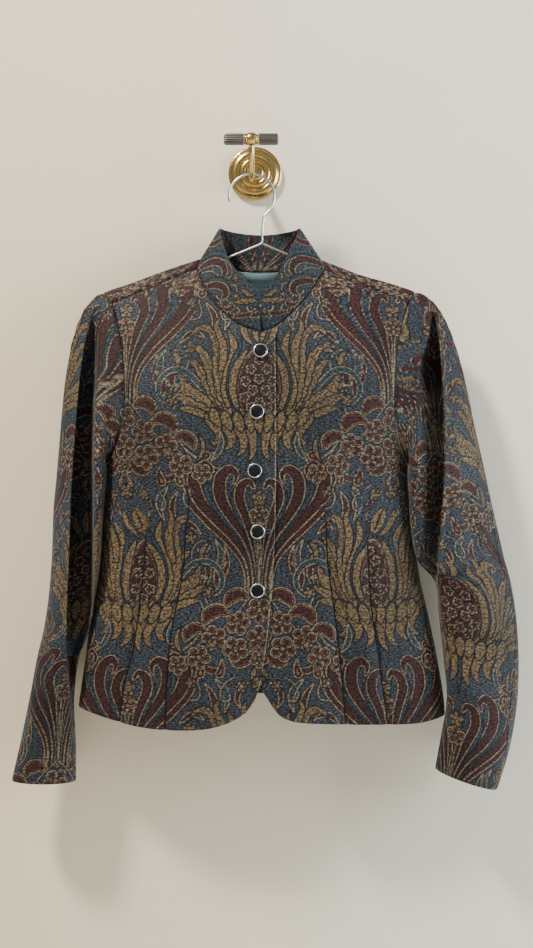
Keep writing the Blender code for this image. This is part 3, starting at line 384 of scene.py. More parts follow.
# The brocade's repeat, drawn for this part: half of it, mirrored on the axis at 0 and on the next axis at
# TILE_WIDTH, where it is half a repeat lower. A motif is a style and points of (across, down, half width).
TILE_WIDTH, TILE_HEIGHT, TILE_STEP = 170.0, 470.0, 0.6
TILE_TOP = 276.5
FIELDS = ("wine", "gold", "blue", "cream", "dark")
OUTSIDE, FAR = 20.0, 99.0
MOTIF_MARGIN, DISC_STEP, FEWEST_DISCS = 8.0, 0.9, 6
MOTIFS = (
    ("blue", ((112, 8, 1), (121, -6, 3.4), (123, -22, 3), (117, -36, 0.8))),
    ("wine", ((102, 24, 1), (108, 4, 3.4), (104, -14, 3), (95, -26, 0.7))),
    ("wine", ((118, 22, 0.7), (127, 6, 2.6), (131, -12, 2.8), (128, -30, 0.7))),
    ("line", (
        (96, 2, 0.7), (88, -12, 0.7), (90, -28, 0.8), (101, -36, 0.8), (110, -30, 0.8), (106, -22, 0.9),
    )),
    ("line", (
        (70, 128, 0.7), (86, 132, 0.7), (97, 144, 0.8), (96, 157, 0.9), (86, 160, 0.9), (82, 152, 1.2),
    )),
    ("blue", ((56, 92, 0.8), (68, 100, 3.2), (80, 98, 3), (90, 88, 0.7))),
    ("wine", ((98, 112, 0.8), (108, 122, 3.6), (119, 123, 3.2), (128, 116, 0.7))),
    ("blue", ((116, 134, 0.8), (127, 146, 3.8), (131, 160, 3.2), (128, 174, 0.7))),
    ("wine", ((104, 140, 0.8), (113, 154, 3.4), (115, 168, 3), (110, 182, 0.7))),
    ("wine", ((72, 190, 0.8), (82, 180, 3.2), (92, 178, 3), (102, 184, 0.7))),
    ("gold", ((60, 200, 0.8), (68, 208, 3), (70, 220, 2.8), (66, 230, 0.7))),
    ("wine", ((40, 226, 0.8), (50, 236, 3.2), (52, 250, 2.8), (48, 262, 0.7))),
    ("petal", ((0, -34, 3), (0, -18, 17), (0, 6, 28), (0, 26, 26), (0, 42, 12))),
    ("blue", (
        (44, 46, 1), (58, 29, 2.6), (73, 9, 3.2), (89, -7, 3.4), (104, -11, 3.5), (118, -4, 3.3),
        (125, 10, 3.1), (122, 23, 2.8), (112, 30, 2.5), (101, 27, 2.1), (96, 17, 1.8), (100, 8, 1.5),
        (106, 9, 1.2),
    )),
    ("leaf", ((98, -8, 0.8), (93, 8, 5), (82, 20, 7.5), (67, 30, 8), (51, 40, 6.5), (36, 47, 2))),
    ("leaf", ((105, 18, 0.8), (94, 25, 4.6), (80, 33, 5.6), (66, 40, 5.2), (50, 47, 3))),
    ("gold", ((100, 38, 0.8), (88, 38, 4), (74, 43, 4.6), (60, 48, 4.2), (46, 51, 2))),
    ("leaf", ((86, -24, 0.8), (79, -18, 4), (71, -7, 5.4), (63, 8, 6), (53, 26, 5.6), (40, 45, 2.5))),
    ("leaf", (
        (82, -42, 0.8), (75, -37, 4.2), (67, -27, 5.6), (61, -12, 6.2), (56, 6, 6.2), (49, 26, 5.6),
        (38, 44, 3),
    )),
    ("leaf", (
        (84, -53, 0.8), (77, -62, 3.2), (66, -63, 4.4), (57, -54, 5), (52, -38, 5.6), (51, -20, 6.2),
        (49, 2, 6.6), (44, 24, 6.2), (35, 43, 3),
    )),
    ("gold", ((48, -78, 0.8), (53, -67, 3), (50, -56, 4), (45, -43, 4.8), (44, -28, 4.8), (46, -12, 4))),
    ("gold", (
        (39, -62, 0.8), (33, -48, 4), (31, -35, 5), (34, -20, 5.4), (39, -4, 5.4), (42, 16, 5),
        (38, 34, 3),
    )),
    ("stripe", ((21, -52, 0.7), (24, -38, 2.2), (31, -23, 2.4), (36, -6, 2.4), (38, 14, 2.2), (34, 32, 1))),
    ("gold", ((13, -38, 0.8), (20, -27, 3.2), (28, -14, 4.6), (32, 2, 4.8), (32, 18, 4.6), (27, 36, 3))),
    ("gold", ((0, -78, 0.8), (5, -64, 3.8), (4, -52, 3.2), (0, -42, 1))),
    ("gold", ((17, -74, 0.8), (19, -60, 4.2), (13, -47, 3), (6, -40, 1))),
    ("gold", ((66, 44, 1), (60, 53, 5.4), (52, 61, 6.2), (48, 72, 4.6), (55, 80, 2.4), (60, 76, 0.8))),
    ("gold", ((46, 48, 1), (40, 60, 5.8), (34, 71, 5.6), (35, 82, 3.8), (42, 88, 0.8))),
    ("gold", ((30, 48, 1), (25, 62, 5.6), (19, 75, 5.4), (20, 88, 3.6), (27, 96, 0.8))),
    ("gold", ((14, 46, 1), (11, 62, 5.6), (7, 78, 5.2), (8, 92, 3.6), (13, 102, 0.8))),
    ("stripe", ((0, 60, 0.8), (0, 76, 2.2), (0, 92, 2.4), (0, 114, 0.7))),
    ("gold", ((57, 38, 2), (55, 46, 6.2), (51, 54, 4.6), (47, 60, 0.8))),
    ("gold", ((43, 42, 2), (41, 50, 6.4), (37, 58, 4.8), (34, 65, 0.8))),
    ("gold", ((28, 43, 2), (26, 51, 6.4), (23, 60, 4.8), (21, 67, 0.8))),
    ("gold", ((13, 43, 2), (12, 51, 6.2), (10, 60, 4.6), (9, 67, 0.8))),
    ("gold", ((0, 44, 2), (0, 52, 6), (0, 61, 4.4), (0, 68, 0.8))),
    ("line", ((24, 112, 0.8), (52, 110, 0.8), (80, 96, 0.8), (98, 76, 0.8), (103, 54, 0.8), (98, 38, 0.8))),
    ("line", (
        (34, 118, 0.8), (58, 114, 0.8), (88, 99, 0.8), (106, 77, 0.8), (110, 52, 0.8), (104, 34, 0.8),
    )),
    ("wine", (
        (17, 264, 0.6), (16, 242, 1.8), (22, 222, 2.4), (39, 200, 3.2), (63, 177, 3.6), (85, 151, 3.4),
        (95, 124, 2.2), (92, 108, 0.8),
    )),
    ("plume", (
        (13, 264, 0.8), (12, 242, 1.6), (17, 219, 2.6), (32, 196, 4.2), (54, 172, 5.8), (74, 147, 7.4),
        (80, 122, 7.6), (69, 106, 5.6), (59, 111, 3.6), (60, 122, 1.6),
    )),
    ("stripe", (
        (10, 264, 0.7), (9.4, 242, 0.9), (13, 218, 1.1), (25, 195, 1.6), (44, 171, 2.2), (60, 149, 2.6),
        (65, 134, 2.4), (58, 128, 0.8),
    )),
    ("plume", (
        (7.5, 264, 0.8), (7, 242, 1.4), (10, 217, 2.4), (19, 193, 4), (35, 169, 5.8), (47, 146, 7.4),
        (47, 123, 7.4), (36, 112, 5.2), (28, 118, 3.4), (30, 129, 1.5),
    )),
    ("stripe", (
        (5, 264, 0.7), (4.6, 242, 0.8), (7, 216, 1), (14, 193, 1.5), (25, 171, 2), (32, 151, 2.2),
        (33, 140, 0.9),
    )),
    ("plume", (
        (3, 264, 0.8), (2.6, 242, 1.2), (5, 216, 2.2), (10, 192, 3.6), (17, 168, 5.2), (24, 148, 6.2),
        (21, 132, 5.6), (12, 127, 3.8), (7, 134, 2.2),
    )),
    ("wine", ((0, 262, 0.8), (1, 232, 1.4), (3, 200, 2.4), (6, 177, 2.8), (8, 160, 0.8))),
    ("line", ((0, 266, 0.9), (1, 232, 0.8), (2, 196, 0.8))),
    ("line", ((2, 258, 0.8), (16, 274, 0.8), (38, 300, 0.8), (64, 326, 0.8), (98, 346, 0.8))),
    ("petal", ((16, 268, 4), (24, 264, 7.5), (34, 268, 8), (40, 277, 4))),
    ("petal", ((40, 288, 4), (50, 284, 8), (61, 289, 8.5), (66, 298, 4))),
    ("petal", ((66, 312, 3), (76, 306, 7), (86, 311, 7.5), (90, 320, 3))),
    ("petal", ((8, 336, 3), (16, 345, 6.5), (26, 348, 7), (34, 343, 3))),
    ("drop", ((48, 362, 5.2), (46, 354, 3.4), (46, 345, 0.8))),
    ("drop", ((72, 362, 5.2), (70, 353, 3.4), (72, 344, 0.8))),
    ("drop", ((106, 330, 4.6), (100, 334, 3), (94, 340, 0.8))),
    ("blue", ((112, 336, 0.8), (120, 326, 3.2), (124, 314, 3), (123, 302, 0.7))),
    ("gold", ((94, 338, 0.8), (101, 326, 3), (101, 314, 2.6), (96, 304, 0.7))),
    ("gold", ((2, 350, 0.8), (7, 362, 3.4), (6, 374, 2.8), (1, 384, 0.7))),
    ("wine", ((14, 374, 0.7), (24, 382, 2.8), (27, 394, 2.8), (23, 404, 0.7))),
    ("line", (
        (30, 366, 0.7), (42, 374, 0.7), (48, 386, 0.8), (44, 396, 0.9), (36, 394, 0.9), (36, 388, 1.2),
    )),
)
# Flowers: centre, petal half width, distance of the petals, how many, turn of the first, petal style
FLOWERS = (
    (0, 284, 6.4, 9.2, 5, 90, "petal"),
    (26, 300, 6.2, 8.8, 5, 40, "petal"),
    (0, 318, 6.4, 9.2, 5, -90, "petal"),
    (29, 332, 6.6, 9.4, 5, 10, "petal"),
    (55, 318, 6.2, 9, 5, 70, "petal"),
    (74, 342, 6, 8.6, 5, 30, "petal"),
    (100, 352, 5, 7.2, 5, 20, "petal"),
    (0, 344, 4.6, 6.6, 5, 90, "petal"),
    (0, 168, 5, 7.2, 5, -90, "petal"),
    (0, 147, 4, 5.6, 5, -90, "gold"),
    (0, -96, 3.4, 6.2, 7, 0, "gold"),
    (22, -92, 2.8, 4.6, 6, 0, "gold"),
    (84, 196, 3.2, 4.8, 5, 50, "gold"),
    (112, 92, 3.2, 4.8, 5, 30, "gold"),
    (62, 262, 3, 4.6, 5, 30, "gold"),
    (84, 374, 2.8, 4.2, 5, 0, "gold"),
)
EYE_SHARE = 0.4
SEEDS = ((0, -23), (10, -11), (0, 1), (17, 4), (8, 15), (0, 30), (18, 24), (10, 36))
SEED, SEED_TURN, SEED_TURN_STEP = (2.5, 3.6, 5), 90, 9
# The collar's figure in the same way: height above the seam, distance from the back's middle, half width
COLLAR_MOTIFS = (
    ("wine", ((0, 2, 0.8), (18, 6, 2), (38, 11, 3), (62, 15, 3.6))),
    ("stripe", ((0, 4, 0.7), (18, 14, 1.4), (36, 23, 2), (60, 33, 2.4))),
    ("wine", ((0, 5, 0.8), (16, 20, 2.2), (32, 36, 3.2), (48, 52, 3.8), (64, 64, 4))),
    ("stripe", ((0, 7, 0.7), (13, 28, 1.6), (25, 46, 2.2), (38, 64, 2.4), (50, 78, 2.4))),
    ("wine", ((0, 9, 0.8), (10, 32, 2.2), (19, 54, 3.2), (30, 76, 3.8), (46, 90, 4), (62, 96, 3.4))),
    ("stripe", ((0, 12, 0.7), (6, 38, 1.6), (12, 62, 2.2), (20, 82, 2.4), (30, 96, 2))),
    ("line", ((0, 40, 0.8), (4, 60, 0.8), (9, 80, 0.8), (18, 96, 0.8))),
    ("stripe", ((6, 94, 1.2), (20, 95, 2), (34, 99, 2.6), (46, 108, 2.8), (53, 121, 2.6), (56, 136, 1.2))),
    ("plume", (
        (-4, 104, 3), (10, 104, 3.8), (24, 107, 4.6), (36, 114, 5.2), (42, 125, 5.2), (39, 135, 4.4),
        (31, 139, 3),
    )),
    ("line", ((30, 139, 1.2), (26, 134, 1), (29, 129, 1))),
    ("line", ((8, 112, 0.8), (17, 116, 0.8), (25, 122, 0.8), (26, 128, 0.8))),
    ("stripe", ((0, 124, 1.2), (12, 127, 1.8), (24, 134, 2.2), (31, 145, 2), (30, 158, 0.8))),
    ("plume", (
        (-4, 130, 3), (8, 134, 4.4), (18, 140, 5.2), (24, 150, 5.2), (21, 158, 4.2), (13, 161, 2.8),
    )),
    ("line", ((12, 161, 1.2), (8, 156, 1), (10, 151, 1))),
    ("gold", ((20, 174, 0.8), (26, 177, 3.6), (31, 184, 4.6), (36, 190, 3.2), (37, 198, 0.8))),
    ("gold", ((40, 168, 0.8), (42, 174, 3), (41, 182, 2.6), (44, 188, 0.7))),
    ("wine", ((2, 172, 0.8), (8, 177, 3.4), (14, 178, 3), (18, 172, 0.7))),
    ("wine", ((4, 190, 0.8), (12, 194, 3.4), (18, 200, 3.2), (26, 200, 0.8))),
    ("gold", ((30, 202, 0.8), (36, 206, 3), (42, 204, 0.8))),
    ("line", ((44, 118, 0.8), (50, 126, 0.8), (50, 138, 0.8), (44, 146, 0.8), (37, 145, 0.9))),
    ("line", ((27, 164, 0.8), (34, 166, 0.8), (38, 160, 0.8), (34, 153, 0.9))),
    ("line", ((4, 160, 0.8), (3, 168, 0.8), (8, 186, 0.8), (16, 188, 0.9), (18, 182, 0.9))),
    ("line", ((26, 190, 0.8), (22, 196, 0.8), (25, 206, 0.8), (33, 210, 0.9))),
)
COLLAR_FLOWERS = (
    (2, 184, 2.6, 4, 5, 20, "petal"),
    (46, 152, 2.4, 3.6, 5, 50, "gold"),
    (11, 167, 2.6, 4, 5, 30, "petal"),
    (29, 170, 2.2, 3.4, 5, 10, "gold"),
    (20, 207, 2.4, 3.6, 5, 60, "petal"),
)

# Styles of the motifs. Fills: colour and how far inside the edge it starts. Lines: colour, how far outside
# the edge they lie, half width.
LINE = 0.75
LOBE_LENGTH, LOBE_LEAST, LOBE_MORE = 15.0, 0.72, 0.42
VEIN_FROM, VEIN_TO, VEIN = 0.12, 0.8, 0.5
WINE, GOLD, BLUE = (("wine", 0),), (("gold", 0),), (("blue", 0),)
DARK_EDGE = (("dark", 0.2, 0.85),)
DARK_SHADE = (("dark", 2 * LINE, 0.5),)
OUTLINE = (("cream", 0, LINE), *DARK_SHADE)
STYLES = {
    "wine": (WINE, OUTLINE),
    "blue": (BLUE, OUTLINE),
    "gold": (GOLD, DARK_EDGE),
    "leaf": (GOLD, DARK_EDGE),
    "stripe": (BLUE, DARK_EDGE),
    "plume": (WINE, (*OUTLINE, ("dark", -2.4, 0.45))),
    "petal": (WINE, (*OUTLINE, ("cream", -2.7, 0.3))),
    "drop": ((*WINE, ("gold", 3.4)), OUTLINE),
    "line": ((("cream", 0),), DARK_SHADE),
    "vein": ((("dark", 0),), ()),
}
BARE_STYLES = ("line", "vein")

# How the pattern lies on the cloth: middles of the fronts and the back, and the grid of cloth lengths
FRONT_CENTRE_X, BACK_CENTRE_X = 6.0, 8.0
ARC_X, ARC_Z, ARC_END = (-252.0, 272.0, 2.0), (-724.0, -96.0, 4.0), 1.001
# First width: painted highlight along the folded lap edge, laid in the cream yarn's colour
# Second width: painted shade along the seams of the fronts, laid in the dark yarn's colour
LAP_HIGHLIGHT_WIDTH, SEAM_SHADE_WIDTH = 1.5, 0.9

# Topstitching and buttonholes
STITCH_INSET, STITCH_SINK, STITCH_GROOVE, STITCH_LIFT = 6.0, 0.35, 1.3, 0.15
STITCH_STEP, STITCH_LENGTH, STITCH_RADIUS, STITCH_SIDES = 3.1, 2.2, 0.26, 6
STITCH_SHARES, STITCH_DIP = (0.0, 0.25, 0.75, 1.0), (-0.2, 0.0, 0.0, -0.2)
STITCH_EDGE_POINTS, STITCH_HEM_POINTS, STITCH_FINE, STITCH_WINDOW = 900, 700, 0.5, 17
STITCH_TOP = {"right": 0.0, "left": -648.0}
HOLE_SHIFT, HOLE_LENGTH, HOLE_WIDTH, HOLE_RADIUS, HOLE_LIFT = 4.5, 21.0, 4.0, 0.7, 0.1
HOLE_POINTS, HOLE_SIDES, HOLE_SQUARE_X, HOLE_SQUARE_Z = 64, 8, 1.6, 1.8

# Buttons as x and z, and turned profiles as radius and height
BUTTONS = ((7.6, -243), (3.1, -318), (0.6, -390), (4.1, -464), (3.9, -536))
DISC = (
    (0, 4.05), (2, 4.1), (3.6, 4.02), (4.1, 3.85), (4.6, 4), (5.6, 3.75), (6.4, 3.25), (6.9, 2.7),
    (7.1, 2.2), (7.1, 0), (0, 0),
)
RIM = (
    (7.35, 2.9), (7.45, 3.25), (7.7, 3.4), (8.4, 3.4), (8.75, 3.2), (8.95, 2.7), (9, 1.8), (8.95, 0.6),
    (8.7, 0), (7.35, 0),
)
PLATE = (
    (0, 12), (7.5, 12), (9.4, 11.7), (10.6, 10.9), (11.2, 9.8), (11.6, 8.9), (12.2, 8.6), (12.8, 9),
    (13.6, 9.6), (15, 10), (17, 9.8), (18.6, 9.2), (19.6, 8.2), (20.2, 7.1), (20.8, 6.6), (21.4, 6.8),
    (22.3, 7.4), (24, 7.8), (26.4, 7.5), (28.2, 6.8), (29.4, 5.8), (30, 4.9), (30.6, 4.5), (31.3, 4.8),
    (32.4, 5.2), (33.8, 4.8), (34.6, 3.8), (35, 2.4), (35, 0), (0, 0),
)
KNOB_HALF = (
    (0, 9), (5.4, 9), (6.5, 8.7), (6.9, 8.1), (6.6, 7.5), (6.1, 7.2), (6.2, 6.9), (7.3, 6.7), (7.8, 6.1),
    (7.3, 5.5), (6.7, 5.2), (7.2, 4.4), (7.8, 3), (8.1, 1.4),
)
KNOB_WAIST = (8.2, 0)
BAR = ((0, 34.2), (3, 34.4), (5.4, 34), (6.4, 33.2), (6.95, 32.4), (7.2, 31.4), (7.2, 9.3), (0, 9.3))
BAR_RIBS, RIB_DEPTH, RIB_FROM, RIB_FULL = 16, 0.14, 5.4, 6.6
DISC_TURNS, RIM_TURNS, PLATE_TURNS, KNOB_TURNS, BAR_TURNS = 48, 64, 96, 64, 176
SOLID_SHARP, TURNED_SHARP = 40.0, 50.0

# Arm of the hook as y and z, its radius by share of the way, and the middle of the bar
ARM_X, ARM_SEAT_Z, ARM_POINTS, ARM_SIDES = -4.0, -13.5, 60, 24
ARM_LINE = (
    (-12.8, -5), (-19, -5.6), (-27, -10), (-37, -15.6), (-49, -17.9), (-61, -15), (-71, -5), (-77.5, 7),
    (-79.6, 15.2),
)
ARM_RADII = ((0, 4.4), (0.15, 4.1), (0.45, 4.3), (0.7, 3.9), (1, 3.5))
BAR_CENTRE = (-4.0, -80.0, 24.0)

# A direction that no tube starts along, which places its first ring
NO_TUBE_WAY = (0.31, 0.87, 0.38)

# Hanger: wire, hook with its angles, fork, and shoulders that lie under the ridge
WIRE_RADIUS, WIRE_STEP, WIRE_BENDING, WIRE_SIDES = 1.5, 1.2, 4, 12
WIRE_GAP, WIRE_SINK = 1.9, 1.2
HANGER_Y = -48.8
HOOK_RADIUS, HOOK_X, HOOK_TIP_ANGLE, HOOK_THROAT_ANGLE, HOOK_POINTS = 29.0, -4.0, 192.0, -58.0, 60
FORK_X, FORK_Z, FORK_TOP_Z, FORK_OUT, HANGER_NECK_Z = 9.4, -101.0, -100.0, 0.9, -84.0
HANGER_SHOULDERS = (((-70.0, -133.0), -112.0, -180.0), ((84.0, -132.0), 122.0, 191.0))
HANGER_CORNER, HANGER_BAR_Z, SHOULDER_POINTS = 4.0, -180.0, 5

# Weave of the brocade. Noises: cycles a metre across, down and through, detail, offset. Spans: values from
# and to, and what these become where it isn't 0 and 1. Yarns: darkest and lightest, in the order of laying.
WEFT, WARP = ((300, 1150, 1), 2.0, 0.0), ((1500, 260, 1), 1.0, 7.0)
SHADE, SHADE_SPAN = ((300, 420, 1), 3.0, 3.0), (0.38, 0.62)
FLECKS, FLECK_SPAN = ((280, 940, 1), 3.0, 31.0), (0.44, 0.60)
WINE_FLECKS, WINE_FLECK_SPAN, WINE_FLECK_SHARE = ((220, 740, 1), 3.0, 53.0), (0.52, 0.62), 0.7
WORN, WORN_SPAN = ((11, 8, 1), 3.0, 5.0), (0.3, 0.7, 0.69, 1.13)
WARP_SPAN, SEWN_SPAN = (0.50, 0.70, 0.0, 0.55), (0.5, 1.2, 1.0, 0.0)
FIGURE_RAGGED, FIGURE_SOFT = 0.75, 0.4
WARP_HEIGHT, YARN_HEIGHTS = 0.6, {"gold": 0.5, "cream": 0.7, "wine": 0.3}
BROCADE_BUMP, BROCADE_ROUGHNESS = (0.0005, 0.8), (0.3, 0.7, 0.72, 0.55)
BROCADE_SHEEN = {"Sheen_Weight": 0.09, "Sheen_Roughness": 0.45, "Sheen_Tint": (0.72, 0.82, 0.92)}
BROCADE_GLOSS = 0.14
GROUND = ((0.0010, 0.0016, 0.0034), (0.058, 0.084, 0.105))
FLECK_WINE, WARP_SHADOW, SEWN_SHADOW = (0.034, 0.011, 0.010), (0.005, 0.005, 0.008), (0.002, 0.002, 0.003)
YARNS = {
    "wine": ((0.0055, 0.0020, 0.0020), (0.060, 0.0205, 0.018)),
    "blue": ((0.003, 0.007, 0.009), (0.040, 0.066, 0.080)),
    "gold": ((0.026, 0.018, 0.009), (0.188, 0.132, 0.070)),
    "cream": ((0.060, 0.047, 0.029), (0.290, 0.228, 0.142)),
    "dark": ((0.0016, 0.0018, 0.003), (0.010, 0.011, 0.015)),
}
CLOUD_SPAN = (0.3, 0.7)

# Satin of the lining
SATIN, SATIN_SHADOW = ((0.115, 0.205, 0.235), (0.190, 0.295, 0.325)), (0.040, 0.085, 0.098)
SATIN_SHEEN = {"Sheen_Weight": 0.2, "Sheen_Tint": (0.6, 0.8, 0.85)}
SATIN_THREADS, SATIN_CLOUDS = ((1600, 300, 300), 1.0), ((16, 16, 6), 3.0)
SATIN_SHADOW_SPAN, SATIN_ROUGHNESS, SATIN_BUMP = (0.3, 0.7, 0.0, 0.35), (0.0, 1.0, 0.34, 0.46), (0.0002, 0.5)

# Hard finishes: two colours, metallic, roughness from and to, scale of the clouds, scale of the grain, gloss
HARD = {
    "brass": ((0.58, 0.39, 0.13), (0.72, 0.52, 0.21), 1.0, (0.18, 0.30), 40, (500, 500, 500), 0.5),
    "bronze": ((0.16, 0.147, 0.132), (0.235, 0.215, 0.19), 1.0, (0.34, 0.52), 60, (120, 700, 700), 0.5),
    "steel": ((0.66, 0.66, 0.65), (0.78, 0.78, 0.77), 1.0, (0.22, 0.38), 50, (700, 700, 700), 0.5),
    "silver": ((0.60, 0.60, 0.60), (0.74, 0.74, 0.74), 1.0, (0.2, 0.36), 80, (900, 900, 900), 0.5),
    "jet": ((0.007, 0.007, 0.009), (0.014, 0.014, 0.018), 0.0, (0.34, 0.52), 120, (900, 900, 900), 0.07),
    "thread": ((0.016, 0.017, 0.026), (0.034, 0.034, 0.044), 0.0, (0.6, 0.85), 300, (2500, 2500, 2500), 0.5),
}
CLOUD_DETAIL, GRAIN_DETAIL, GRAIN_OFFSET = 4.0, 3.0, 9.0
GRAIN_SHADE, GRAIN_SPAN, GLOSS_SPAN, HARD_BUMP = 0.55, (0.35, 0.75, 0.0, 0.4), (0.25, 0.75), (0.00015, 0.4)

# Stage, in metres: wall, floor, lights (place, target, size, power, colour), room light and camera
ROOM, WALL_TOP, FLOOR_Z, WALL_Y = 6, 4, -1.25, 0.0008
# Plaster: clouds of uneven tone, and painted warm light over a span in x: warmer and darker to the left in
# the first paint colour, paler to the right in the second
PLASTER_CLOUDS, PLASTER_SPAN, PAINTED_WARM_LIGHT_SPAN = ((3, 3, 3), 3.0), (0.3, 0.7, -0.08, 0.08), (-0.62, 0.42)
FLOOR_PAINT = ((0.60, 0.57, 0.53), (0.66, 0.63, 0.59))
WALL_PAINT = ((0.75, 0.62, 0.435), (0.80, 0.77, 0.65))
LIGHTS = {
    "key": ((-1.35, -1.3, 2.1), (0.0, -0.05, -0.35), 0.4, 192.0, (1.0, 0.93, 0.83)),
    "side": ((2.4, -0.75, 0.0), (0.1, -0.05, -0.45), 1.4, 95.0, (0.90, 0.96, 1.0)),
    "behind": ((0.9, 2.4, 0.7), (0.0, -0.05, -0.45), 1.6, 60.0, (1.0, 0.98, 0.95)),
}
ROOM_LIGHT, ROOM_STRENGTH = (0.91, 0.96, 1.0, 1.0), 0.36
CAMERA_PLACE, CAMERA_SENSOR, CAMERA_LENS = (0.015, -1.615, -0.394), 36.0, 46.69

# Cut of what shows of each cloth piece: width and length in metres, area in square metres
CUTS = {
    "front_right": (0.26, 0.6, 0.1175),
    "front_left": (0.27, 0.6, 0.1175),
    "back": (0.5, 0.62, 0.2296),
    "collar": (0.42, 0.06, 0.0205),
    "sleeve_right_upper": (0.17, 0.6, 0.0885),
    "sleeve_right_under": (0.17, 0.6, 0.0544),
    "sleeve_left_upper": (0.18, 0.62, 0.083),
    "sleeve_left_under": (0.2, 0.62, 0.0776),
    "lining_back": (0.42, 0.53, 0.187),
}


def smooth(xs, ys, x):
    """Smooth curve through a table of heights at rising places, straight beyond its ends."""
    xs, ys, x = np.asarray(xs, float), np.asarray(ys, float), np.asarray(x, float)
    last = len(xs) - 1
    index = np.arange(last + 1)
    low, high = np.maximum(index - 1, 0), np.minimum(index + 1, last)
    slopes = (ys[high] - ys[low]) / (xs[high] - xs[low])
    i = np.clip(np.searchsorted(xs, x, side="right") - 1, 0, last - 1)
    width = xs[i + 1] - xs[i]
    t = (x - xs[i]) / width
    curve = (2 * t**3 - 3 * t**2 + 1) * ys[i] + (t**3 - 2 * t**2 + t) * slopes[i] * width
    curve += (3 * t**2 - 2 * t**3) * ys[i + 1] + (t**3 - t**2) * slopes[i + 1] * width
    before = ys[0] + (ys[1] - ys[0]) / (xs[1] - xs[0]) * (x - xs[0])
    after = ys[last] + (ys[last] - ys[last - 1]) / (xs[last] - xs[last - 1]) * (x - xs[last])
    return np.where(x <= xs[0], before, np.where(x >= xs[last], after, curve))


def ease(low, high, x):
    """0 up to low, 1 from high, smooth between."""
    t = np.clip((x - low) / (high - low), 0.0, 1.0)
    return t * t * (3 - 2 * t)


def unit(vectors):
    """Vectors of length 1."""
    return vectors / np.maximum(np.linalg.norm(vectors, axis=-1, keepdims=True), LEAST_LENGTH)


def run_lengths(line):
    """Length reached at each point of a line."""
    return np.concatenate([[0.0], np.cumsum(np.linalg.norm(np.diff(line, axis=0), axis=1))])


def at_lengths(line, reached, places):
    """Points at places along a line, whose points are reached at known lengths."""
    return np.stack([np.interp(places, reached, axis) for axis in line.T], -1)


def along(points, t):
    """Places at shares t of the way along a smooth line through the points, one array for each axis."""
    points = np.asarray(points, float)
    reached = run_lengths(points)
    place = np.clip(t, 0.0, 1.0) * reached[-1]
    return [smooth(reached, axis, place) for axis in points.T]


def stretch(points, first=0.0, last=1.0):
    """An edge that runs along the points from one share of their length to another."""
    return lambda t: along(points, first + (last - first) * t)


def chain(*pieces):
    """One edge made of several sewn end to end, each given with the share at which it ends."""

    def at(t):
        result = [np.zeros(t.shape), np.zeros(t.shape)]
        begin = 0.0
        for edge, end in pieces:
            inside = (t >= begin) & (t <= end)
            for target, values in zip(result, edge((t[inside] - begin) / (end - begin))):
                target[inside] = values
            begin = end
        return result

    return at


def coons(bottom, top, start, end, u, v):
    """Places of a flat piece between four edges: bottom and top run with u, start and end with v."""
    low, high, left, right = bottom(u), top(u), start(v), end(v)
    corners = np.array([0.0, 1.0])
    lows, highs = bottom(corners), top(corners)
    result = []
    for axis in range(2):
        ruled = (1 - v) * low[axis] + v * high[axis] + (1 - u) * left[axis] + u * right[axis]
        corner = (1 - v) * ((1 - u) * lows[axis][0] + u * lows[axis][1])
        corner += v * ((1 - u) * highs[axis][0] + u * highs[axis][1])
        result.append(ruled - corner)
    return result


def spread(breaks, counts, powers):
    """Shares of columns or rows: so many in each stretch between breaks, closing up by its power towards
    the stretch's end, or towards its start where the power is less than 0."""
    shares = [0.0]
    for low, high, count, power in zip(breaks, breaks[1:], counts, powers):
        local = np.arange(1, count + 1) / count
        local = 1 - (1 - local) ** power if power > 0 else local**-power
        shares.extend(low + (high - low) * local)
    return np.array(shares)


def between(field, row, next_row, column, s, t):
    """Values of a grid between places: s of the way to the next column, t of the way to the next row."""
    low = field[row, column] * (1 - s) + field[row, column + 1] * s
    high = field[next_row, column] * (1 - s) + field[next_row, column + 1] * s
    return low * (1 - t) + high * t


def body_value(name, z):
    """A column of the body table at heights."""
    return smooth(BODY_COLUMNS["z"], BODY_COLUMNS[name], z)


def ridge_z(x):
    """Height of the shoulder ridge."""
    return smooth(*zip(*RIDGE_TABLE), x)


def across_share(x, z):
    """1 in the middle of the body and 0 at its sides."""
    right, left = body_value("right", z), body_value("left", z)
    share = np.minimum(np.abs(2 * x - right - left) / (left - right), 1.0)
    return (1 - share**SIDE_POWER) ** (1 / SIDE_POWER)


def below_ridge_share(drop, reach):
    """0 on the shoulder ridge and 1 from a reach below it."""
    t = np.clip(drop / reach, 0.0, 1.0)
    return (1 - (1 - t) ** RIDGE_FALL) ** RIDGE_ROUND


def body_point(x, height, inner_lap=False, forward=None):
    """Outer surface of the body. With forward None, what is above the ridge is folded over to the front."""
    over = height - ridge_z(x)
    on_front = over > 0 if forward is None else np.full(np.shape(x), forward)
    drop = np.abs(over)
    z = ridge_z(x) - drop
    seam = SEAM_GAP / 2 * np.clip((drop - FRONT_REACH / 2) / FRONT_REACH, 0.0, 1.0)
    round_off = across_share(x, z)
    front = body_value("front", z) * round_off * below_ridge_share(drop, FRONT_REACH)
    back = body_value("back", z) * round_off * below_ridge_share(drop, BACK_REACH)
    if inner_lap:
        ramp = np.clip((LAP_EDGE_X + LAP_RAMP - x) / LAP_RAMP, 0.0, 1.0)
        front = front - (WALL + LAP_GAP) * ramp * ramp * (3 - 2 * ramp)
    y = body_value("middle", z) + np.where(on_front, -seam - front, seam + back)
    return np.stack([x, y, z], -1)


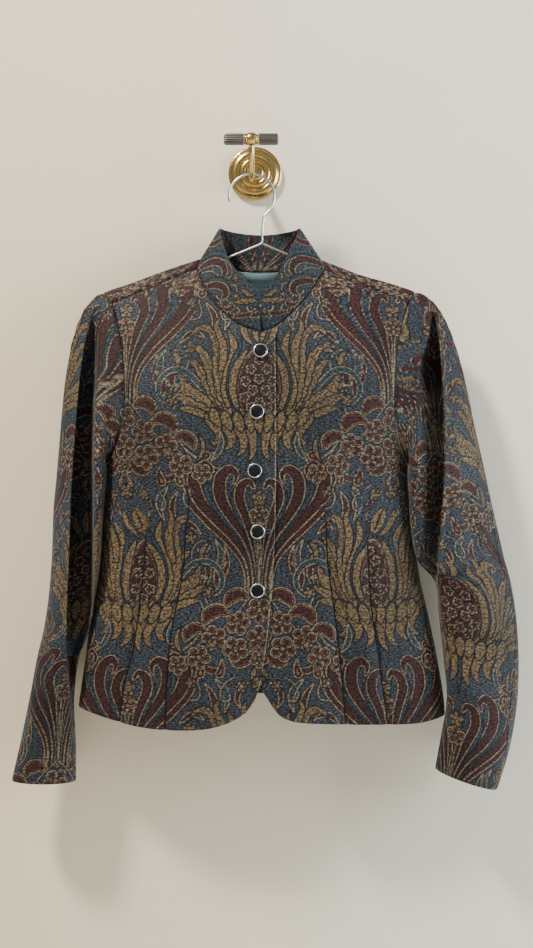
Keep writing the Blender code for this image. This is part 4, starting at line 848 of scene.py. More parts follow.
def body_normal(x, height, inner_lap=False, forward=None):
    """Direction out of the body's surface."""
    step, way = NORMAL_STEP, (inner_lap, forward)
    across = body_point(x + step, height, *way) - body_point(x - step, height, *way)
    upward = body_point(x, height + step, *way) - body_point(x, height - step, *way)
    normal = unit(np.cross(across, upward))
    return normal if forward else -normal


def grid_normals(points, facing):
    """Outward directions on a grid of points. facing is 1 where columns turned to rows point outwards."""
    return facing * unit(np.cross(np.gradient(points, axis=1), np.gradient(points, axis=0)))


def moved_out(points, facing, push):
    """A grid of points moved along its outward directions."""
    return points + grid_normals(points, facing) * push[..., None]


def shoulder_seam(side, gap):
    """Seam in front of the ridge, from the neck to the armhole, a gap short of its line."""
    neck_x, neck_z = EDGES[side]["neck"][-1]
    outer_x, outer_z = along(EDGES[side]["armhole_front"], SHOULDER_SEAM_SHARE)
    first, last = ridge_z(neck_x) - neck_z, ridge_z(outer_x) - outer_z

    def at(t):
        x = neck_x + (outer_x - neck_x) * t
        return x, ridge_z(x) - first - (last - first) * t - gap

    return at


def side_seam(side, hem_z):
    """Side seam from the hem to the underarm."""

    def at(t):
        z = hem_z + (UNDERARM_Z - hem_z) * t
        return body_value(side, z), z

    return at


def front_places(side):
    """Places of a front's grid, as x and z: columns from lap edge to side, rows from hem to shoulder."""
    edges, lap_share = EDGES[side], LAP_SHARES[side]
    hem, neck, armhole = edges["hem"], edges["neck"], edges["armhole_front"]
    top = chain(
        (stretch(neck[:2]), lap_share),
        (stretch(neck[1:], 0.0, 1 - SEAM_SHARE), NECK_END_SHARE),
        (shoulder_seam(side, SEAM_GAP), 1.0),
    )
    outer = chain(
        (side_seam(side, hem[-1][1]), FRONT_UNDERARM_SHARE),
        (stretch(armhole, 1.0, SHOULDER_SEAM_SHARE + SEAM_SHARE), 1.0),
    )
    u = spread((0.0, lap_share, NECK_END_SHARE, 1.0), FRONT_COLUMNS[side], FRONT_COLUMN_POWERS)
    u, v = np.meshgrid(u, np.linspace(0.0, 1.0, FRONT_ROWS + 1))
    return coons(stretch(hem), top, stretch(edges["lap"]), outer, u, v)


def unfolded(x, z):
    """A place on the front, unfolded over the ridge."""
    return x, 2 * ridge_z(x) - z


def folded_up(edge):
    """An edge on the front, unfolded over the ridge."""
    return lambda t: unfolded(*edge(t))


def back_neck():
    """Neck edge of the back, from shoulder seam to shoulder seam."""
    return (unfolded(*EDGES["right"]["neck"][-1]), *BACK_NECK, unfolded(*EDGES["left"]["neck"][-1]))


def back_side(side, hem_z):
    """Side of the back: side seam, armhole, and over the ridge to the shoulder seam."""
    return chain(
        (side_seam(side, hem_z), UNDERARM_ROW_SHARE),
        (stretch(EDGES[side]["armhole_back"], 1.0, 0.0), BACK_RIDGE_SHARE),
        (folded_up(stretch(EDGES[side]["armhole_front"], 0.0, SHOULDER_SEAM_SHARE)), 1.0),
    )


def back_places():
    """Places of the back's grid, as x and unfolded height: columns from right to left, rows upwards."""
    right_top, left_top = (folded_up(shoulder_seam(side, 0.0)) for side in ("right", "left"))
    neck_from, neck_to = 0.5 - BACK_NECK_SHARE, 0.5 + BACK_NECK_SHARE
    top = chain((lambda t: right_top(1 - t), neck_from), (stretch(back_neck()), neck_to), (left_top, 1.0))
    start, end = back_side("right", BACK_HEM[0][1]), back_side("left", BACK_HEM[-1][1])
    u = spread((0.0, neck_from, 0.5, neck_to, 1.0), BACK_COLUMNS, BACK_COLUMN_POWERS)
    v = spread((0.0, UNDERARM_ROW_SHARE, BACK_RIDGE_SHARE, 1.0), BACK_ROWS, BACK_ROW_POWERS)
    u, v = np.meshgrid(u, v)
    return coons(stretch(BACK_HEM), top, start, end, u, v)


def sleeve_section(side, angle, z):
    """Points of a sleeve's section: angle 0 is its outer side, 90 its front, 180 its side to the body."""
    heights, *columns = np.array(SLEEVES[side]["table"][::-1], float).T
    outer, inner, middle, depth, lean, trough, tilt = (smooth(heights, column, z) for column in columns)
    width = np.sqrt(((outer - inner) / 2) ** 2 - lean**2)
    turn = np.radians(angle)
    from_fold = (angle - SLEEVES[side]["trough_angle"]) / TROUGH_SPREAD
    fold = trough * TROUGH_KEPT * np.exp(-(from_fold**2))
    x = (outer + inner) / 2 + OUTWARD[side] * (width * np.cos(turn) - lean * np.sin(turn))
    y = middle - depth * np.sin(turn) + fold
    return np.stack([x, y, z + tilt / 2 * np.cos(turn)], -1)


def armhole_place(side, angle):
    """Points and outward directions of the body at the armhole, from the ridge round to the underarm."""
    front_edge, back_edge = EDGES[side]["armhole_front"], EDGES[side]["armhole_back"]
    turn = angle % 360
    turn = np.where(turn <= 180, turn, turn - 360)
    front, back = along(front_edge, turn / 180), along(back_edge, -turn / 180)
    forward = (turn >= 0)[..., None]
    point = np.where(forward, body_point(*front, False, True), body_point(*back, False, False))
    front = along(front_edge, np.maximum(turn, RIDGE_SPAN) / 180)
    back = along(back_edge, np.maximum(-turn, RIDGE_SPAN) / 180)
    share = ease(-RIDGE_SPAN, RIDGE_SPAN, turn)[..., None]
    normal = body_normal(*back, False, False) * (1 - share) + body_normal(*front, False, True) * share
    return point, unit(normal)


def sleeve_points(side, angle, v):
    """Outer surface of a sleeve: v runs from the cuff to the armhole."""
    table = SLEEVES[side]["table"]
    top_z, cuff_z = table[0][0], table[-1][0]
    z = cuff_z + (top_z - cuff_z) * np.minimum(v / (1 - CAP_ROWS_SHARE), 1.0)
    low = sleeve_section(side, angle, z)
    top, below = (sleeve_section(side, angle, np.full(z.shape, float(row[0]))) for row in table[:2])
    rising = unit(top - below)
    seam, normal = armhole_place(side, angle)
    flat = 1 - np.maximum(0.0, -np.cos(np.radians(angle)))
    from_ridge = (angle + 180) % 360 - 180
    flat = flat * (1 - SLEEVES[side]["square"] * np.exp(-((from_ridge / SQUARE_SPAN) ** 2)))
    out = np.array((OUTWARD[side], 0.0, CAP_START_FALL))
    out = unit(out - (normal @ out)[..., None] * normal * flat[..., None])
    round_hole = armhole_place(side, angle + 1)[0] - armhole_place(side, angle - 1)[0]
    start = seam - unit(np.cross(round_hole, normal)) * OUTWARD[side] * CURVED_SEAM_GAP
    reach = np.linalg.norm(low - start, axis=-1, keepdims=True)
    first = start + out * CAP_OUT * (reach / CAP_FULL_REACH) ** CAP_OUT_POWER
    second = low + rising * reach * CAP_RISE
    t = np.clip((1 - v) / CAP_ROWS_SHARE, 0.0, 1.0)[..., None]
    return start * (1 - t) ** 3 + first * 3 * t * (1 - t) ** 2 + second * 3 * t**2 * (1 - t) + low * t**3


def sleeve_grid(side, first, last, columns):
    """Grid of one piece of a sleeve between two angles: rows from cuff to armhole."""
    u, v = np.meshgrid(np.linspace(0.0, 1.0, columns + 1), np.linspace(0.0, 1.0, SLEEVE_ROWS + 1))
    inset = SEAM_ANGLE * (1 + v)
    angle = first + inset + (last - first - 2 * inset) * u
    from_seam = np.abs((angle - SLEEVE_SEAMS[1] + 180) % 360 - 180)
    drift = SLEEVES[side]["seam_drift"]
    angle = angle + drift * (1 - v) * np.maximum(0.0, 1 - from_seam / SEAM_DRIFT_SPAN)
    return sleeve_points(side, angle, v)


def neck_seam(count):
    """Points along the neck seam, from the right end of the slit round the neck to the left end."""
    share = np.linspace(0.0, 1.0, NECK_STEPS)
    right = body_point(*along(EDGES["right"]["neck"][1:], share), False, True)
    back = body_point(*along(back_neck(), share))
    left = body_point(*along(EDGES["left"]["neck"][1:], 1 - share), True, True)
    line = np.concatenate([right, back[1:-1], left])
    reached = run_lengths(line)
    return at_lengths(line, reached, np.linspace(0.0, reached[-1], count))


def collar_grid():
    """Grid of the standing collar: columns along the neck seam, rows from seam to top edge."""
    columns, rows = COLLAR_GRID
    seam = neck_seam(columns + 1)
    shares, *axes = np.array(COLLAR_TABLE).T
    top = np.stack([smooth(shares, axis, np.linspace(0.0, 1.0, columns + 1)) for axis in axes], -1)
    base = seam - unit(top - seam) * COLLAR_TUCK
    v = np.linspace(0.0, 1.0, rows + 1)[:, None, None]
    return base * (1 - v) + top * v


def paint(fields, style, x, y, radius):
    """Lays one motif, a row of discs, over what is there. The fields are distances to the edges of each
    colour, less than 0 inside."""
    x, y, radius = (np.asarray(value, float) for value in (x, y, radius))
    rows, columns = fields["wine"].shape
    across, down = np.arange(columns) * TILE_STEP, np.arange(rows) * TILE_STEP
    fills, lines = STYLES[style]
    margin = 0.0 if style in BARE_STYLES else LINE
    reach = radius + MOTIF_MARGIN
    copies = []
    for turn in (-1, 0, 1):
        for mirror in (1, -1):
            copies.append((mirror * x, y + turn * TILE_HEIGHT))
            copies.append((TILE_WIDTH + mirror * x, y + (turn + 0.5) * TILE_HEIGHT))
    for px, py in copies:
        c0, c1 = np.searchsorted(across, [(px - reach).min(), (px + reach).max()])
        r0, r1 = np.searchsorted(down, [(py - reach).min(), (py + reach).max()])
        if c0 >= c1 or r0 >= r1:
            continue
        off = np.full((r1 - r0, c1 - c0), FAR)
        for disc_x, disc_y, disc_radius in zip(px, py, radius):
            disc = np.hypot(across[None, c0:c1] - disc_x, down[r0:r1, None] - disc_y) - disc_radius
            np.minimum(off, disc, out=off)
        area = {name: fields[name][r0:r1, c0:c1] for name in FIELDS}
        for name in FIELDS:
            np.maximum(area[name], margin - off, out=area[name])
        for name, inset in fills:
            np.minimum(area[name], off + inset, out=area[name])
        for name, outset, half in lines:
            np.minimum(area[name], np.abs(off - outset) - half, out=area[name])


def paint_flower(fields, x, y, radius, distance, petals, first, style):
    """Petals in a ring, and the eye of the flower."""
    for number in range(petals):
        angle = math.radians(first + 360 / petals * number)
        paint(fields, style, [x + distance * math.cos(angle)], [y + distance * math.sin(angle)], [radius])
    paint(fields, "wine" if style == "gold" else "gold", [x], [y], [distance * EYE_SHARE])


def draw_repeat(motifs, flowers, seeds):
    """Fields of a whole repeat."""
    shape = round(TILE_HEIGHT / TILE_STEP), round(TILE_WIDTH / TILE_STEP) + 1
    fields = {name: np.full(shape, OUTSIDE) for name in FIELDS}
    for style, points in motifs:
        length = sum(math.dist(a[:2], b[:2]) for a, b in zip(points, points[1:]))
        share = np.linspace(0, 1, max(int(length / DISC_STEP), FEWEST_DISCS))
        x, y, radius = along(points, share)
        if style == "leaf":
            radius = radius * (LOBE_LEAST + LOBE_MORE * np.abs(np.sin(share * length / LOBE_LENGTH * np.pi)))
        paint(fields, style, x, y, radius)
        if style == "leaf":
            core = (share > VEIN_FROM) & (share < VEIN_TO)
            paint(fields, "vein", x[core], y[core], np.full(core.sum(), VEIN))
    for flower in flowers:
        paint_flower(fields, *flower)
    for x, y in seeds:
        paint_flower(fields, x, y, *SEED, SEED_TURN + SEED_TURN_STEP * x, "wine")
    return fields


def look_up(fields, across, down):
    """Fields of the repeat at places of the flat cloth, and a field of sewn lines with none in it yet."""
    x = np.abs((across + TILE_WIDTH) % (2 * TILE_WIDTH) - TILE_WIDTH) / TILE_STEP
    y = (down - TILE_TOP) % TILE_HEIGHT / TILE_STEP
    rows, columns = fields["wine"].shape
    column, row = np.minimum(x.astype(int), columns - 2), y.astype(int)
    place = row % rows, (row + 1) % rows, column, x - column, y - row
    found = {name: between(field, *place) for name, field in fields.items()}
    return {**found, "sewn": np.full(across.shape, FAR)}


def crease(x, z, line, width, height, open_end=False):
    """Height of one soft ridge or trough at places. It dies away at its ends, or only at its first."""
    result = np.zeros(x.shape)
    line_x, line_z = along(line, np.linspace(0.0, 1.0, CREASE_STEPS))
    reach = CREASE_REACH * width
    near = (x > line_x.min() - reach) & (x < line_x.max() + reach)
    near &= (z > line_z.min() - reach) & (z < line_z.max() + reach)
    if not near.any():
        return result
    px, pz = x[near], z[near]
    best, share = np.full(px.shape, np.inf), np.zeros(px.shape)
    for step in range(CREASE_STEPS - 1):
        dx, dz = line_x[step + 1] - line_x[step], line_z[step + 1] - line_z[step]
        t = np.clip(((px - line_x[step]) * dx + (pz - line_z[step]) * dz) / (dx * dx + dz * dz), 0.0, 1.0)
        off = (px - line_x[step] - t * dx) ** 2 + (pz - line_z[step] - t * dz) ** 2
        closer = off < best
        best = np.where(closer, off, best)
        share = np.where(closer, (step + t) / (CREASE_STEPS - 1), share)
    fade = ease(0.0, CREASE_FADE, share) * (1.0 if open_end else ease(0.0, CREASE_FADE, 1 - share))
    result[near] = height * np.exp(-best / width**2) * fade
    return result


def creases(x, z, folds):
    """Heights of several creases together."""
    return sum(crease(x, z, *fold) for fold in folds)


def edge_distances(points):
    """Distances along the grid from its first and last column, and first and last row."""
    across = np.linalg.norm(np.diff(points, axis=1), axis=-1)
    upward = np.linalg.norm(np.diff(points, axis=0), axis=-1)
    first = np.pad(np.cumsum(across, axis=1), ((0, 0), (1, 0)))
    low = np.pad(np.cumsum(upward, axis=0), ((1, 0), (0, 0)))
    return first, first[:, -1:] - first, low, low[-1:] - low


def rolled(push, *edges):
    """A push with the cloth's turns into seams and over edges, each with the distances from it."""
    for distance, (depth, width) in edges:
        push = push - depth * np.exp(-((distance / width) ** 2))
    return push


def arc_from(x0, forward):
    """Length of the cloth across the body from x0, as a function of x and z."""
    xs, zs = np.arange(*ARC_X), np.arange(*ARC_Z)
    grid_x, grid_z = np.meshgrid(xs, zs)
    y = body_point(grid_x, grid_z, False, forward)[..., 1]
    steps = np.hypot(np.diff(grid_x, axis=1), np.diff(y, axis=1))
    length = np.pad(np.cumsum(steps, axis=1), ((0, 0), (1, 0)))
    start = np.array([np.interp(x0, xs, row) for row in length])
    length = length - start[:, None]

    def at(x, z):
        column = np.clip((x - xs[0]) / ARC_X[2], 0, len(xs) - ARC_END)
        row = np.clip((z - zs[0]) / ARC_Z[2], 0, len(zs) - ARC_END)
        i, j = column.astype(int), row.astype(int)
        return between(length, j, j + 1, i, column - i, row - j)

    return at


def dart_lines(side, z):
    """For each dart of a front, its x at heights and the height of its top."""
    for line in DARTS[side]:
        x, height = zip(*line[::-1])
        yield smooth(height, x, z), height[-1]


def dart_shift(side, x, z):
    """How far the darts carry the pattern outwards at places of a front."""
    intake = np.maximum(smooth(*zip(*DART_INTAKE), z), 0.0)
    shift = np.zeros(x.shape)
    for dart_x, top_z in dart_lines(side, z):
        shift += np.where((OUTWARD[side] * (x - dart_x) > 0) & (z < top_z), intake, 0.0)
    return OUTWARD[side] * shift


def dart_distance(side, x, z):
    """Distance from the nearer dart, less than 0 between the two. Above a dart's top it grows fast."""
    distances = []
    for (dart_x, top_z), way in zip(dart_lines(side, z), (-OUTWARD[side], OUTWARD[side])):
        sewn = np.maximum(ease(0.0, DART_TAPER, top_z - z), DART_LEAST)
        distances.append(way * (x - dart_x) / sewn)
    return np.maximum(*distances)


def even_columns(points, count):
    """The same surface with its columns spread evenly along each row."""
    reached = edge_distances(points)[0]
    rows = [at_lengths(line, run, np.linspace(0.0, run[-1], count + 1)) for line, run in zip(points, reached)]
    return np.array(rows)


def linked(name, data):
    """A new object of the scene."""
    made = bpy.data.objects.new(name, data)
    bpy.context.scene.collection.objects.link(made)
    return made


def quads(ids, forward):
    """Faces of a grid of point numbers."""
    corners = [ids[:-1, :-1], ids[:-1, 1:], ids[1:, 1:], ids[1:, :-1]]
    return np.stack(corners if forward else corners[::-1], -1).reshape(-1, 4).tolist()


def rim_faces(ids, inner, steps, forward):
    """Faces between the edge of an outer grid and that of its coarser inner grid."""
    faces = []
    edges = ((ids[0], inner[0], 1), (ids[:, -1], inner[:, -1], 0))
    edges += ((ids[-1, ::-1], inner[-1, ::-1], 1), (ids[::-1, 0], inner[::-1, 0], 0))
    for edge, inner_edge, way in edges:
        step = steps[way]
        for start, (here, after) in enumerate(zip(inner_edge, inner_edge[1:])):
            run = edge[start * step : (start + 1) * step + 1]
            faces += [(run[k + 1], run[k], here if k < step // 2 else after) for k in range(step)]
            faces.append((run[step // 2], here, after))
    return faces if forward else [face[::-1] for face in faces]


def shell(name, outer, facing, thickness, fields, across, down, steps=INNER_STEPS):
    """Closed thin shell of cloth on a grid of outer points. Its inner face takes every so many of them."""
    rows, columns = outer.shape[:2]
    coarse = slice(None, None, steps[0]), slice(None, None, steps[1])
    inner = (outer - grid_normals(outer, facing) * thickness)[coarse]
    ids = np.arange(rows * columns).reshape(rows, columns)
    inner_ids = rows * columns + np.arange(inner.shape[0] * inner.shape[1]).reshape(inner.shape[:2])
    outside, inside = quads(ids, facing > 0), quads(inner_ids, facing < 0)
    rim = rim_faces(ids, inner_ids, steps, facing > 0)
    mesh = bpy.data.meshes.new(name)
    points = np.concatenate([outer.reshape(-1, 3), inner.reshape(-1, 3)]) * MM
    mesh.from_pydata(points.tolist(), [], outside + rim + inside)
    mesh.shade_smooth()
    flat = np.stack([across, down, np.zeros(across.shape)], -1) * MM
    flat = np.concatenate([flat.reshape(-1, 3), flat[coarse].reshape(-1, 3)]).astype(np.float32)
    mesh.attributes.new("cut", "FLOAT_VECTOR", "POINT").data.foreach_set("vector", flat.ravel())
    for field, values in fields.items():
        values = np.concatenate([values.ravel(), values[coarse].ravel()]).astype(np.float32)
        mesh.attributes.new(field, "FLOAT", "POINT").data.foreach_set("value", values)
    return linked(name, mesh)


def front_push(side, x, z):
    """How far a front stands out from its plain form."""
    push = creases(x, z, FRONT_FOLDS[side])
    for line in DARTS[side]:
        push = push + crease(x, z, line, DART_WIDTH, -DART_DEPTH, True)
        push = push + crease(x, z, line, DART_HOLLOW_WIDTH, -DART_HOLLOW_DEPTH, True)
    return push


def front_piece(side, fields):
    """Cloth of one front. The left one steps in under the lap."""
    x, z = front_places(side)
    points = body_point(x, z, side == "left", True)
    lap, outer, hem, top = edge_distances(points)
    turns = (outer, SEAM_ROLL), (top, SEAM_ROLL), (lap, EDGE_ROLL), (hem, EDGE_ROLL)
    push = rolled(front_push(side, x, z), *turns)
    push = push - STITCH_SINK * np.exp(-(((np.minimum(lap, hem) - STITCH_INSET) / STITCH_GROOVE) ** 2))
    points = moved_out(points, OUTWARD[side], push)
    across = arc_from(FRONT_CENTRE_X, True)(x, z) + dart_shift(side, x, z)
    fields = look_up(fields, across, -z)
    # Painted highlight: a cream line along the lap's folded edge
    fields["cream"] = np.minimum(fields["cream"], lap - LAP_HIGHLIGHT_WIDTH)
    # Painted shade: a dark line along the seams at the side, armhole, neck and shoulder
    fields["dark"] = np.minimum(fields["dark"], np.minimum(outer, top) - SEAM_SHADE_WIDTH)
    fields["sewn"] = dart_distance(side, x, z)
    return shell(f"cloth_front_{side}", points, OUTWARD[side], CLOTH_THICKNESS, fields, across, -z)


def back_piece(fields):
    """Cloth of the back."""
    x, height = back_places()
    points = body_point(x, height)
    right, left, hem, top = edge_distances(points)
    turns = (right, BACK_SEAM_ROLL), (left, BACK_SEAM_ROLL), (top, SEAM_ROLL), (hem, EDGE_ROLL)
    points = moved_out(points, -1.0, rolled(creases(x, height, BACK_FOLDS), *turns))
    across = arc_from(BACK_CENTRE_X, False)(x, height) + TILE_WIDTH
    fields = look_up(fields, across, -height)
    return shell("cloth_back", points, -1.0, CLOTH_THICKNESS, fields, across, -height)


def sleeve_fold(side, x, z):
    """How far the long fold of a sleeve goes in, and how far its floor lies under the ridge."""
    heights, *columns = np.array(SLEEVE_FOLDS[side], float).T
    ridge, other, depth = (np.interp(z, heights, column) for column in columns)
    if side == "right":
        start, stop = RIGHT_FOLD_RIDGE
        profile = ease(ridge + start, ridge + stop, x)
        start, stop = RIGHT_FOLD_OTHER
        profile = profile * (1 - ease(other + start, other + stop, x))
    else:
        share = np.clip((x - other) / (ridge - LEFT_FOLD_FLOOR - other), 0.0, 1.0)
        start, stop = LEFT_FOLD_RIDGE
        profile = share ** np.interp(z, *LEFT_FOLD_POWER) * (1 - ease(ridge + start, ridge + stop, x))
    lift = RIDGE_LIFT * np.exp(-(((x - ridge) / RIDGE_WIDTH) ** 2))
    lift = lift * np.clip(depth / RIDGE_FULL_DEPTH, 0.0, 1.0)
    near = np.clip((other - x) / (other - ridge), 0.0, 1.0)
    return depth * profile - lift, UNDERCUT * np.clip(depth * profile / FULL_DEPTH, 0.0, 1.0) * near


def sleeve_piece(side, part, fields):
    """Cloth of one piece of a sleeve, folded on a fine grid and then spread evenly."""
    first, last, columns = SLEEVE_PARTS[part]
    pattern_across, pattern_down = SLEEVE_PATTERN[side][part]
    facing = -OUTWARD[side]
    points = sleeve_grid(side, first, last, SLEEVE_FINE * columns)
    normals = grid_normals(points, facing)
    x, z = points[..., 0], points[..., 2]
    front, back = (ease(0.0, FACING_FADE, way * normals[..., 1]) for way in (-1, 1))
    start, end, cuff, top = edge_distances(points)
    push = creases(x, z, SLEEVE_CREASES[side]) * front + creases(x, z, SLEEVE_BACK_CREASES[side]) * back
    turns = (start, SLEEVE_SEAM_ROLL), (end, SLEEVE_SEAM_ROLL), (top, SEAM_ROLL), (cuff, EDGE_ROLL)
    points = points + normals * rolled(push, *turns)[..., None]
    sink, under = sleeve_fold(side, x, z)
    points[..., 0] += OUTWARD[side] * under * front
    points[..., 1] += sink * front
    points = even_columns(points, columns)
    start, end, cuff, top = edge_distances(points)
    across = (start - start[:, columns // 2, None]) * OUTWARD[side] + pattern_across
    down = pattern_down - cuff
    fields = look_up(fields, across, down)
    name = f"cloth_sleeve_{side}_{part}"
    return shell(name, points, facing, SLEEVE_THICKNESS, fields, across, down, SLEEVE_INNER_STEPS)


def collar_piece(fields):
    """Cloth of the collar. Its pattern runs round the neck."""
    points = collar_grid()
    start, end, seam, top = edge_distances(points)
    edges = ((edge, COLLAR_EDGE_ROLL) for edge in (top, start, end))
    points = moved_out(points, -1.0, rolled(0.0, (seam, COLLAR_SEAM_ROLL), *edges))
    down = TILE_TOP + np.abs(start - start[:, COLLAR_GRID[0] // 2, None])
    fields = look_up(fields, seam, down)
    return shell("cloth_collar", points, -1.0, COLLAR_THICKNESS, fields, seam, down)


def lining_piece():
    """Lining inside the back, with soft wrinkles."""
    u, v = np.meshgrid(*(np.linspace(0, 1, count + 1) for count in LINING_GRID))
    edges = (stretch(edge) for edge in (LINING_HEM, LINING_TOP, LINING_RIGHT, LINING_LEFT))
    x, height = coons(*edges, u, v)
    points = body_point(x, height, False, False)
    points = points - body_normal(x, height, False, False) * (WALL + LINING_GAP)
    points = moved_out(points, -1.0, creases(x, height, LINING_FOLDS))
    return shell("cloth_lining", points, -1.0, LINING_THICKNESS, {}, x, -height)


class Finish:
    """A procedural material while its nodes are laid: each call adds a node and returns its output."""

    def __init__(self, name):
        self.material = bpy.data.materials.new(name)
        self.material.use_nodes = True
        self.tree = self.material.node_tree
        self.tree.nodes.clear()

    def add(self, kind, values, output=0, **settings):
        made = self.tree.nodes.new(kind)
        for name, value in settings.items():
            setattr(made, name, value)
        for key, value in values.items():
            if isinstance(value, bpy.types.NodeSocket):
                self.tree.links.new(value, made.inputs[key])
            else:
                made.inputs[key].default_value = value
        return made.outputs[output]

    def place(self):
        return self.add("ShaderNodeTexCoord", {}, "Object")

    def field(self, name, output="Fac"):
        return self.add("ShaderNodeAttribute", {}, output, attribute_type="GEOMETRY", attribute_name=name)

    def sums(self, operation, first, second):
        return self.add("ShaderNodeMath", {0: first, 1: second}, operation=operation)

    def ramp(self, value, low, high, first=0.0, last=1.0, **settings):
        return self.add("ShaderNodeMapRange", {0: value, 1: low, 2: high, 3: first, 4: last}, **settings)

    def noise(self, vector, scales, detail=2.0, offset=0.0):
        values = {0: vector, 1: scales, 2: (offset,) * 3}
        places = self.add("ShaderNodeVectorMath", values, operation="MULTIPLY_ADD")
        return self.add("ShaderNodeTexNoise", {"Vector": places, "Scale": 1.0, "Detail": detail})

    def mix(self, factor, first, second, blend="MIX"):
        # Inputs 6 and 7 and output 2 of this node are colours
        colours = {0: factor, 6: colour(first), 7: colour(second)}
        return self.add("ShaderNodeMix", colours, 2, data_type="RGBA", blend_type=blend)

    def close(self, height, distance, strength, **sockets):
        values = {name.replace("_", " "): colour(value) for name, value in sockets.items()}
        bump = {"Height": height, "Distance": distance, "Strength": strength}
        values["Normal"] = self.add("ShaderNodeBump", bump)
        return self.end(self.add("ShaderNodeBsdfPrincipled", values))

    def end(self, shader):
        made = self.tree.nodes.new("ShaderNodeOutputMaterial")
        self.tree.links.new(shader, made.inputs[0])
        return self.material


def colour(value):
    """A colour of three numbers with its alpha, or anything else as it is."""
    return (*value, 1.0) if isinstance(value, tuple) and len(value) == 3 else value


def brocade_finish():
    """Woven figure on a flecked navy ground. Fields of the cloth say where each yarn lies on top; on the
    fronts they also hold a painted highlight along the lap edge and painted shade along the seams and darts.
    """
    made = Finish("brocade")
    cut = made.field("cut", "Vector")
    weft, warp = made.noise(cut, *WEFT), made.noise(cut, *WARP)
    flecks = made.ramp(made.noise(cut, *FLECKS), *FLECK_SPAN)
    wine_flecks = made.ramp(made.noise(cut, *WINE_FLECKS), *WINE_FLECK_SPAN)
    shade = made.ramp(made.noise(cut, *SHADE), *SHADE_SPAN)
    result = made.mix(flecks, *GROUND)
    result = made.mix(made.sums("MULTIPLY", wine_flecks, WINE_FLECK_SHARE), result, FLECK_WINE)
    ragged = made.ramp(weft, 0.0, 1.0, -FIGURE_RAGGED, FIGURE_RAGGED)
    masks = {}
    for name, yarn in YARNS.items():
        masks[name] = made.ramp(made.sums("ADD", made.field(name), ragged), FIGURE_SOFT, -FIGURE_SOFT)
        result = made.mix(masks[name], result, made.mix(shade, *yarn))
    result = made.mix(made.ramp(warp, *WARP_SPAN), result, WARP_SHADOW)
    sewn = made.ramp(made.sums("ABSOLUTE", made.field("sewn"), 0.0), *SEWN_SPAN)
    result = made.mix(sewn, result, SEWN_SHADOW)
    worn = made.ramp(made.noise(cut, *WORN), *WORN_SPAN)
    worn = made.add("ShaderNodeCombineColor", {0: worn, 1: worn, 2: worn})
    result = made.mix(1.0, result, worn, "MULTIPLY")
    height = made.sums("ADD", weft, made.sums("MULTIPLY", warp, WARP_HEIGHT))
    for name, raised in YARN_HEIGHTS.items():
        height = made.sums("ADD", height, made.sums("MULTIPLY", masks[name], raised))
    rough = made.ramp(weft, *BROCADE_ROUGHNESS)
    look = {"Base_Color": result, "Roughness": rough, "Specular_IOR_Level": BROCADE_GLOSS, **BROCADE_SHEEN}
    return made.close(height, *BROCADE_BUMP, **look)


def lining_finish():
    """Teal satin, with fine threads and a soft uneven gloss."""
    made = Finish("lining")
    place = made.place()
    threads = made.noise(place, *SATIN_THREADS)
    clouds = made.ramp(made.noise(place, *SATIN_CLOUDS), *CLOUD_SPAN)
    base = made.mix(clouds, *SATIN)
    base = made.mix(made.ramp(threads, *SATIN_SHADOW_SPAN), base, SATIN_SHADOW)
    rough = made.ramp(clouds, *SATIN_ROUGHNESS)
    return made.close(threads, *SATIN_BUMP, Base_Color=base, Roughness=rough, **SATIN_SHEEN)


def hard_finish(name):
    """Metal, horn or thread: two colours in clouds, and a fine grain that also breaks up the gloss."""
    low, high, metallic, roughness, scale, grain, gloss = HARD[name]
    made = Finish(name)
    place = made.place()
    clouds = made.ramp(made.noise(place, (scale,) * 3, CLOUD_DETAIL), *CLOUD_SPAN)
    fine = made.noise(place, grain, GRAIN_DETAIL, GRAIN_OFFSET)
    base = made.mix(clouds, low, high)
    dark = tuple(GRAIN_SHADE * value for value in low)
    base = made.mix(made.ramp(fine, *GRAIN_SPAN), base, dark)
    rough = made.ramp(fine, *GLOSS_SPAN, *roughness)
    look = {"Base_Color": base, "Metallic": metallic, "Roughness": rough, "Specular_IOR_Level": gloss}
    return made.close(fine, *HARD_BUMP, **look)


def solid(name, points, faces, material, sharp=SOLID_SHARP):
    """A mesh piece from points in millimetres."""
    mesh = bpy.data.meshes.new(name)
    mesh.from_pydata((np.asarray(points) * MM).tolist(), [], faces)
    mesh.shade_smooth()
    mesh.set_sharp_from_angle(angle=math.radians(sharp))
    mesh.materials.append(material)
    return linked(name, mesh)


def ring_faces(low, high):
    """Faces between rings of point numbers and the next rings."""
    return np.stack([low, np.roll(low, -1, 1), np.roll(high, -1, 1), high], -1).reshape(-1, 4).tolist()


def tube_parts(points, radii, sides, closed=False, first=0):
    """Points and faces of a round tube along points, its numbers counted from first."""
    points = np.asarray(points, float)
    count = len(points)
    if closed:
        tangent = unit(np.roll(points, -1, 0) - np.roll(points, 1, 0))
    else:
        tangent = unit(np.gradient(points, axis=0))
    side = np.zeros((count, 3))
    side[0] = unit(np.cross(tangent[0], NO_TUBE_WAY))
    for i in range(1, count):
        side[i] = unit(side[i - 1] - tangent[i] * (side[i - 1] @ tangent[i]))
    other = np.cross(tangent, side)
    turn = np.linspace(0, 2 * np.pi, sides, endpoint=False)[None, :, None]
    radii = np.broadcast_to(radii, count)[:, None, None]
    rings = points[:, None] + radii * (side[:, None] * np.cos(turn) + other[:, None] * np.sin(turn))
    ids = first + np.arange(count * sides).reshape(count, sides)
    steps = ids if not closed else np.concatenate([ids, ids[:1]])
    faces = ring_faces(steps[:-1], steps[1:])
    if not closed:
        faces += [ids[0, ::-1].tolist(), ids[-1].tolist()]
    return rings.reshape(-1, 3), faces


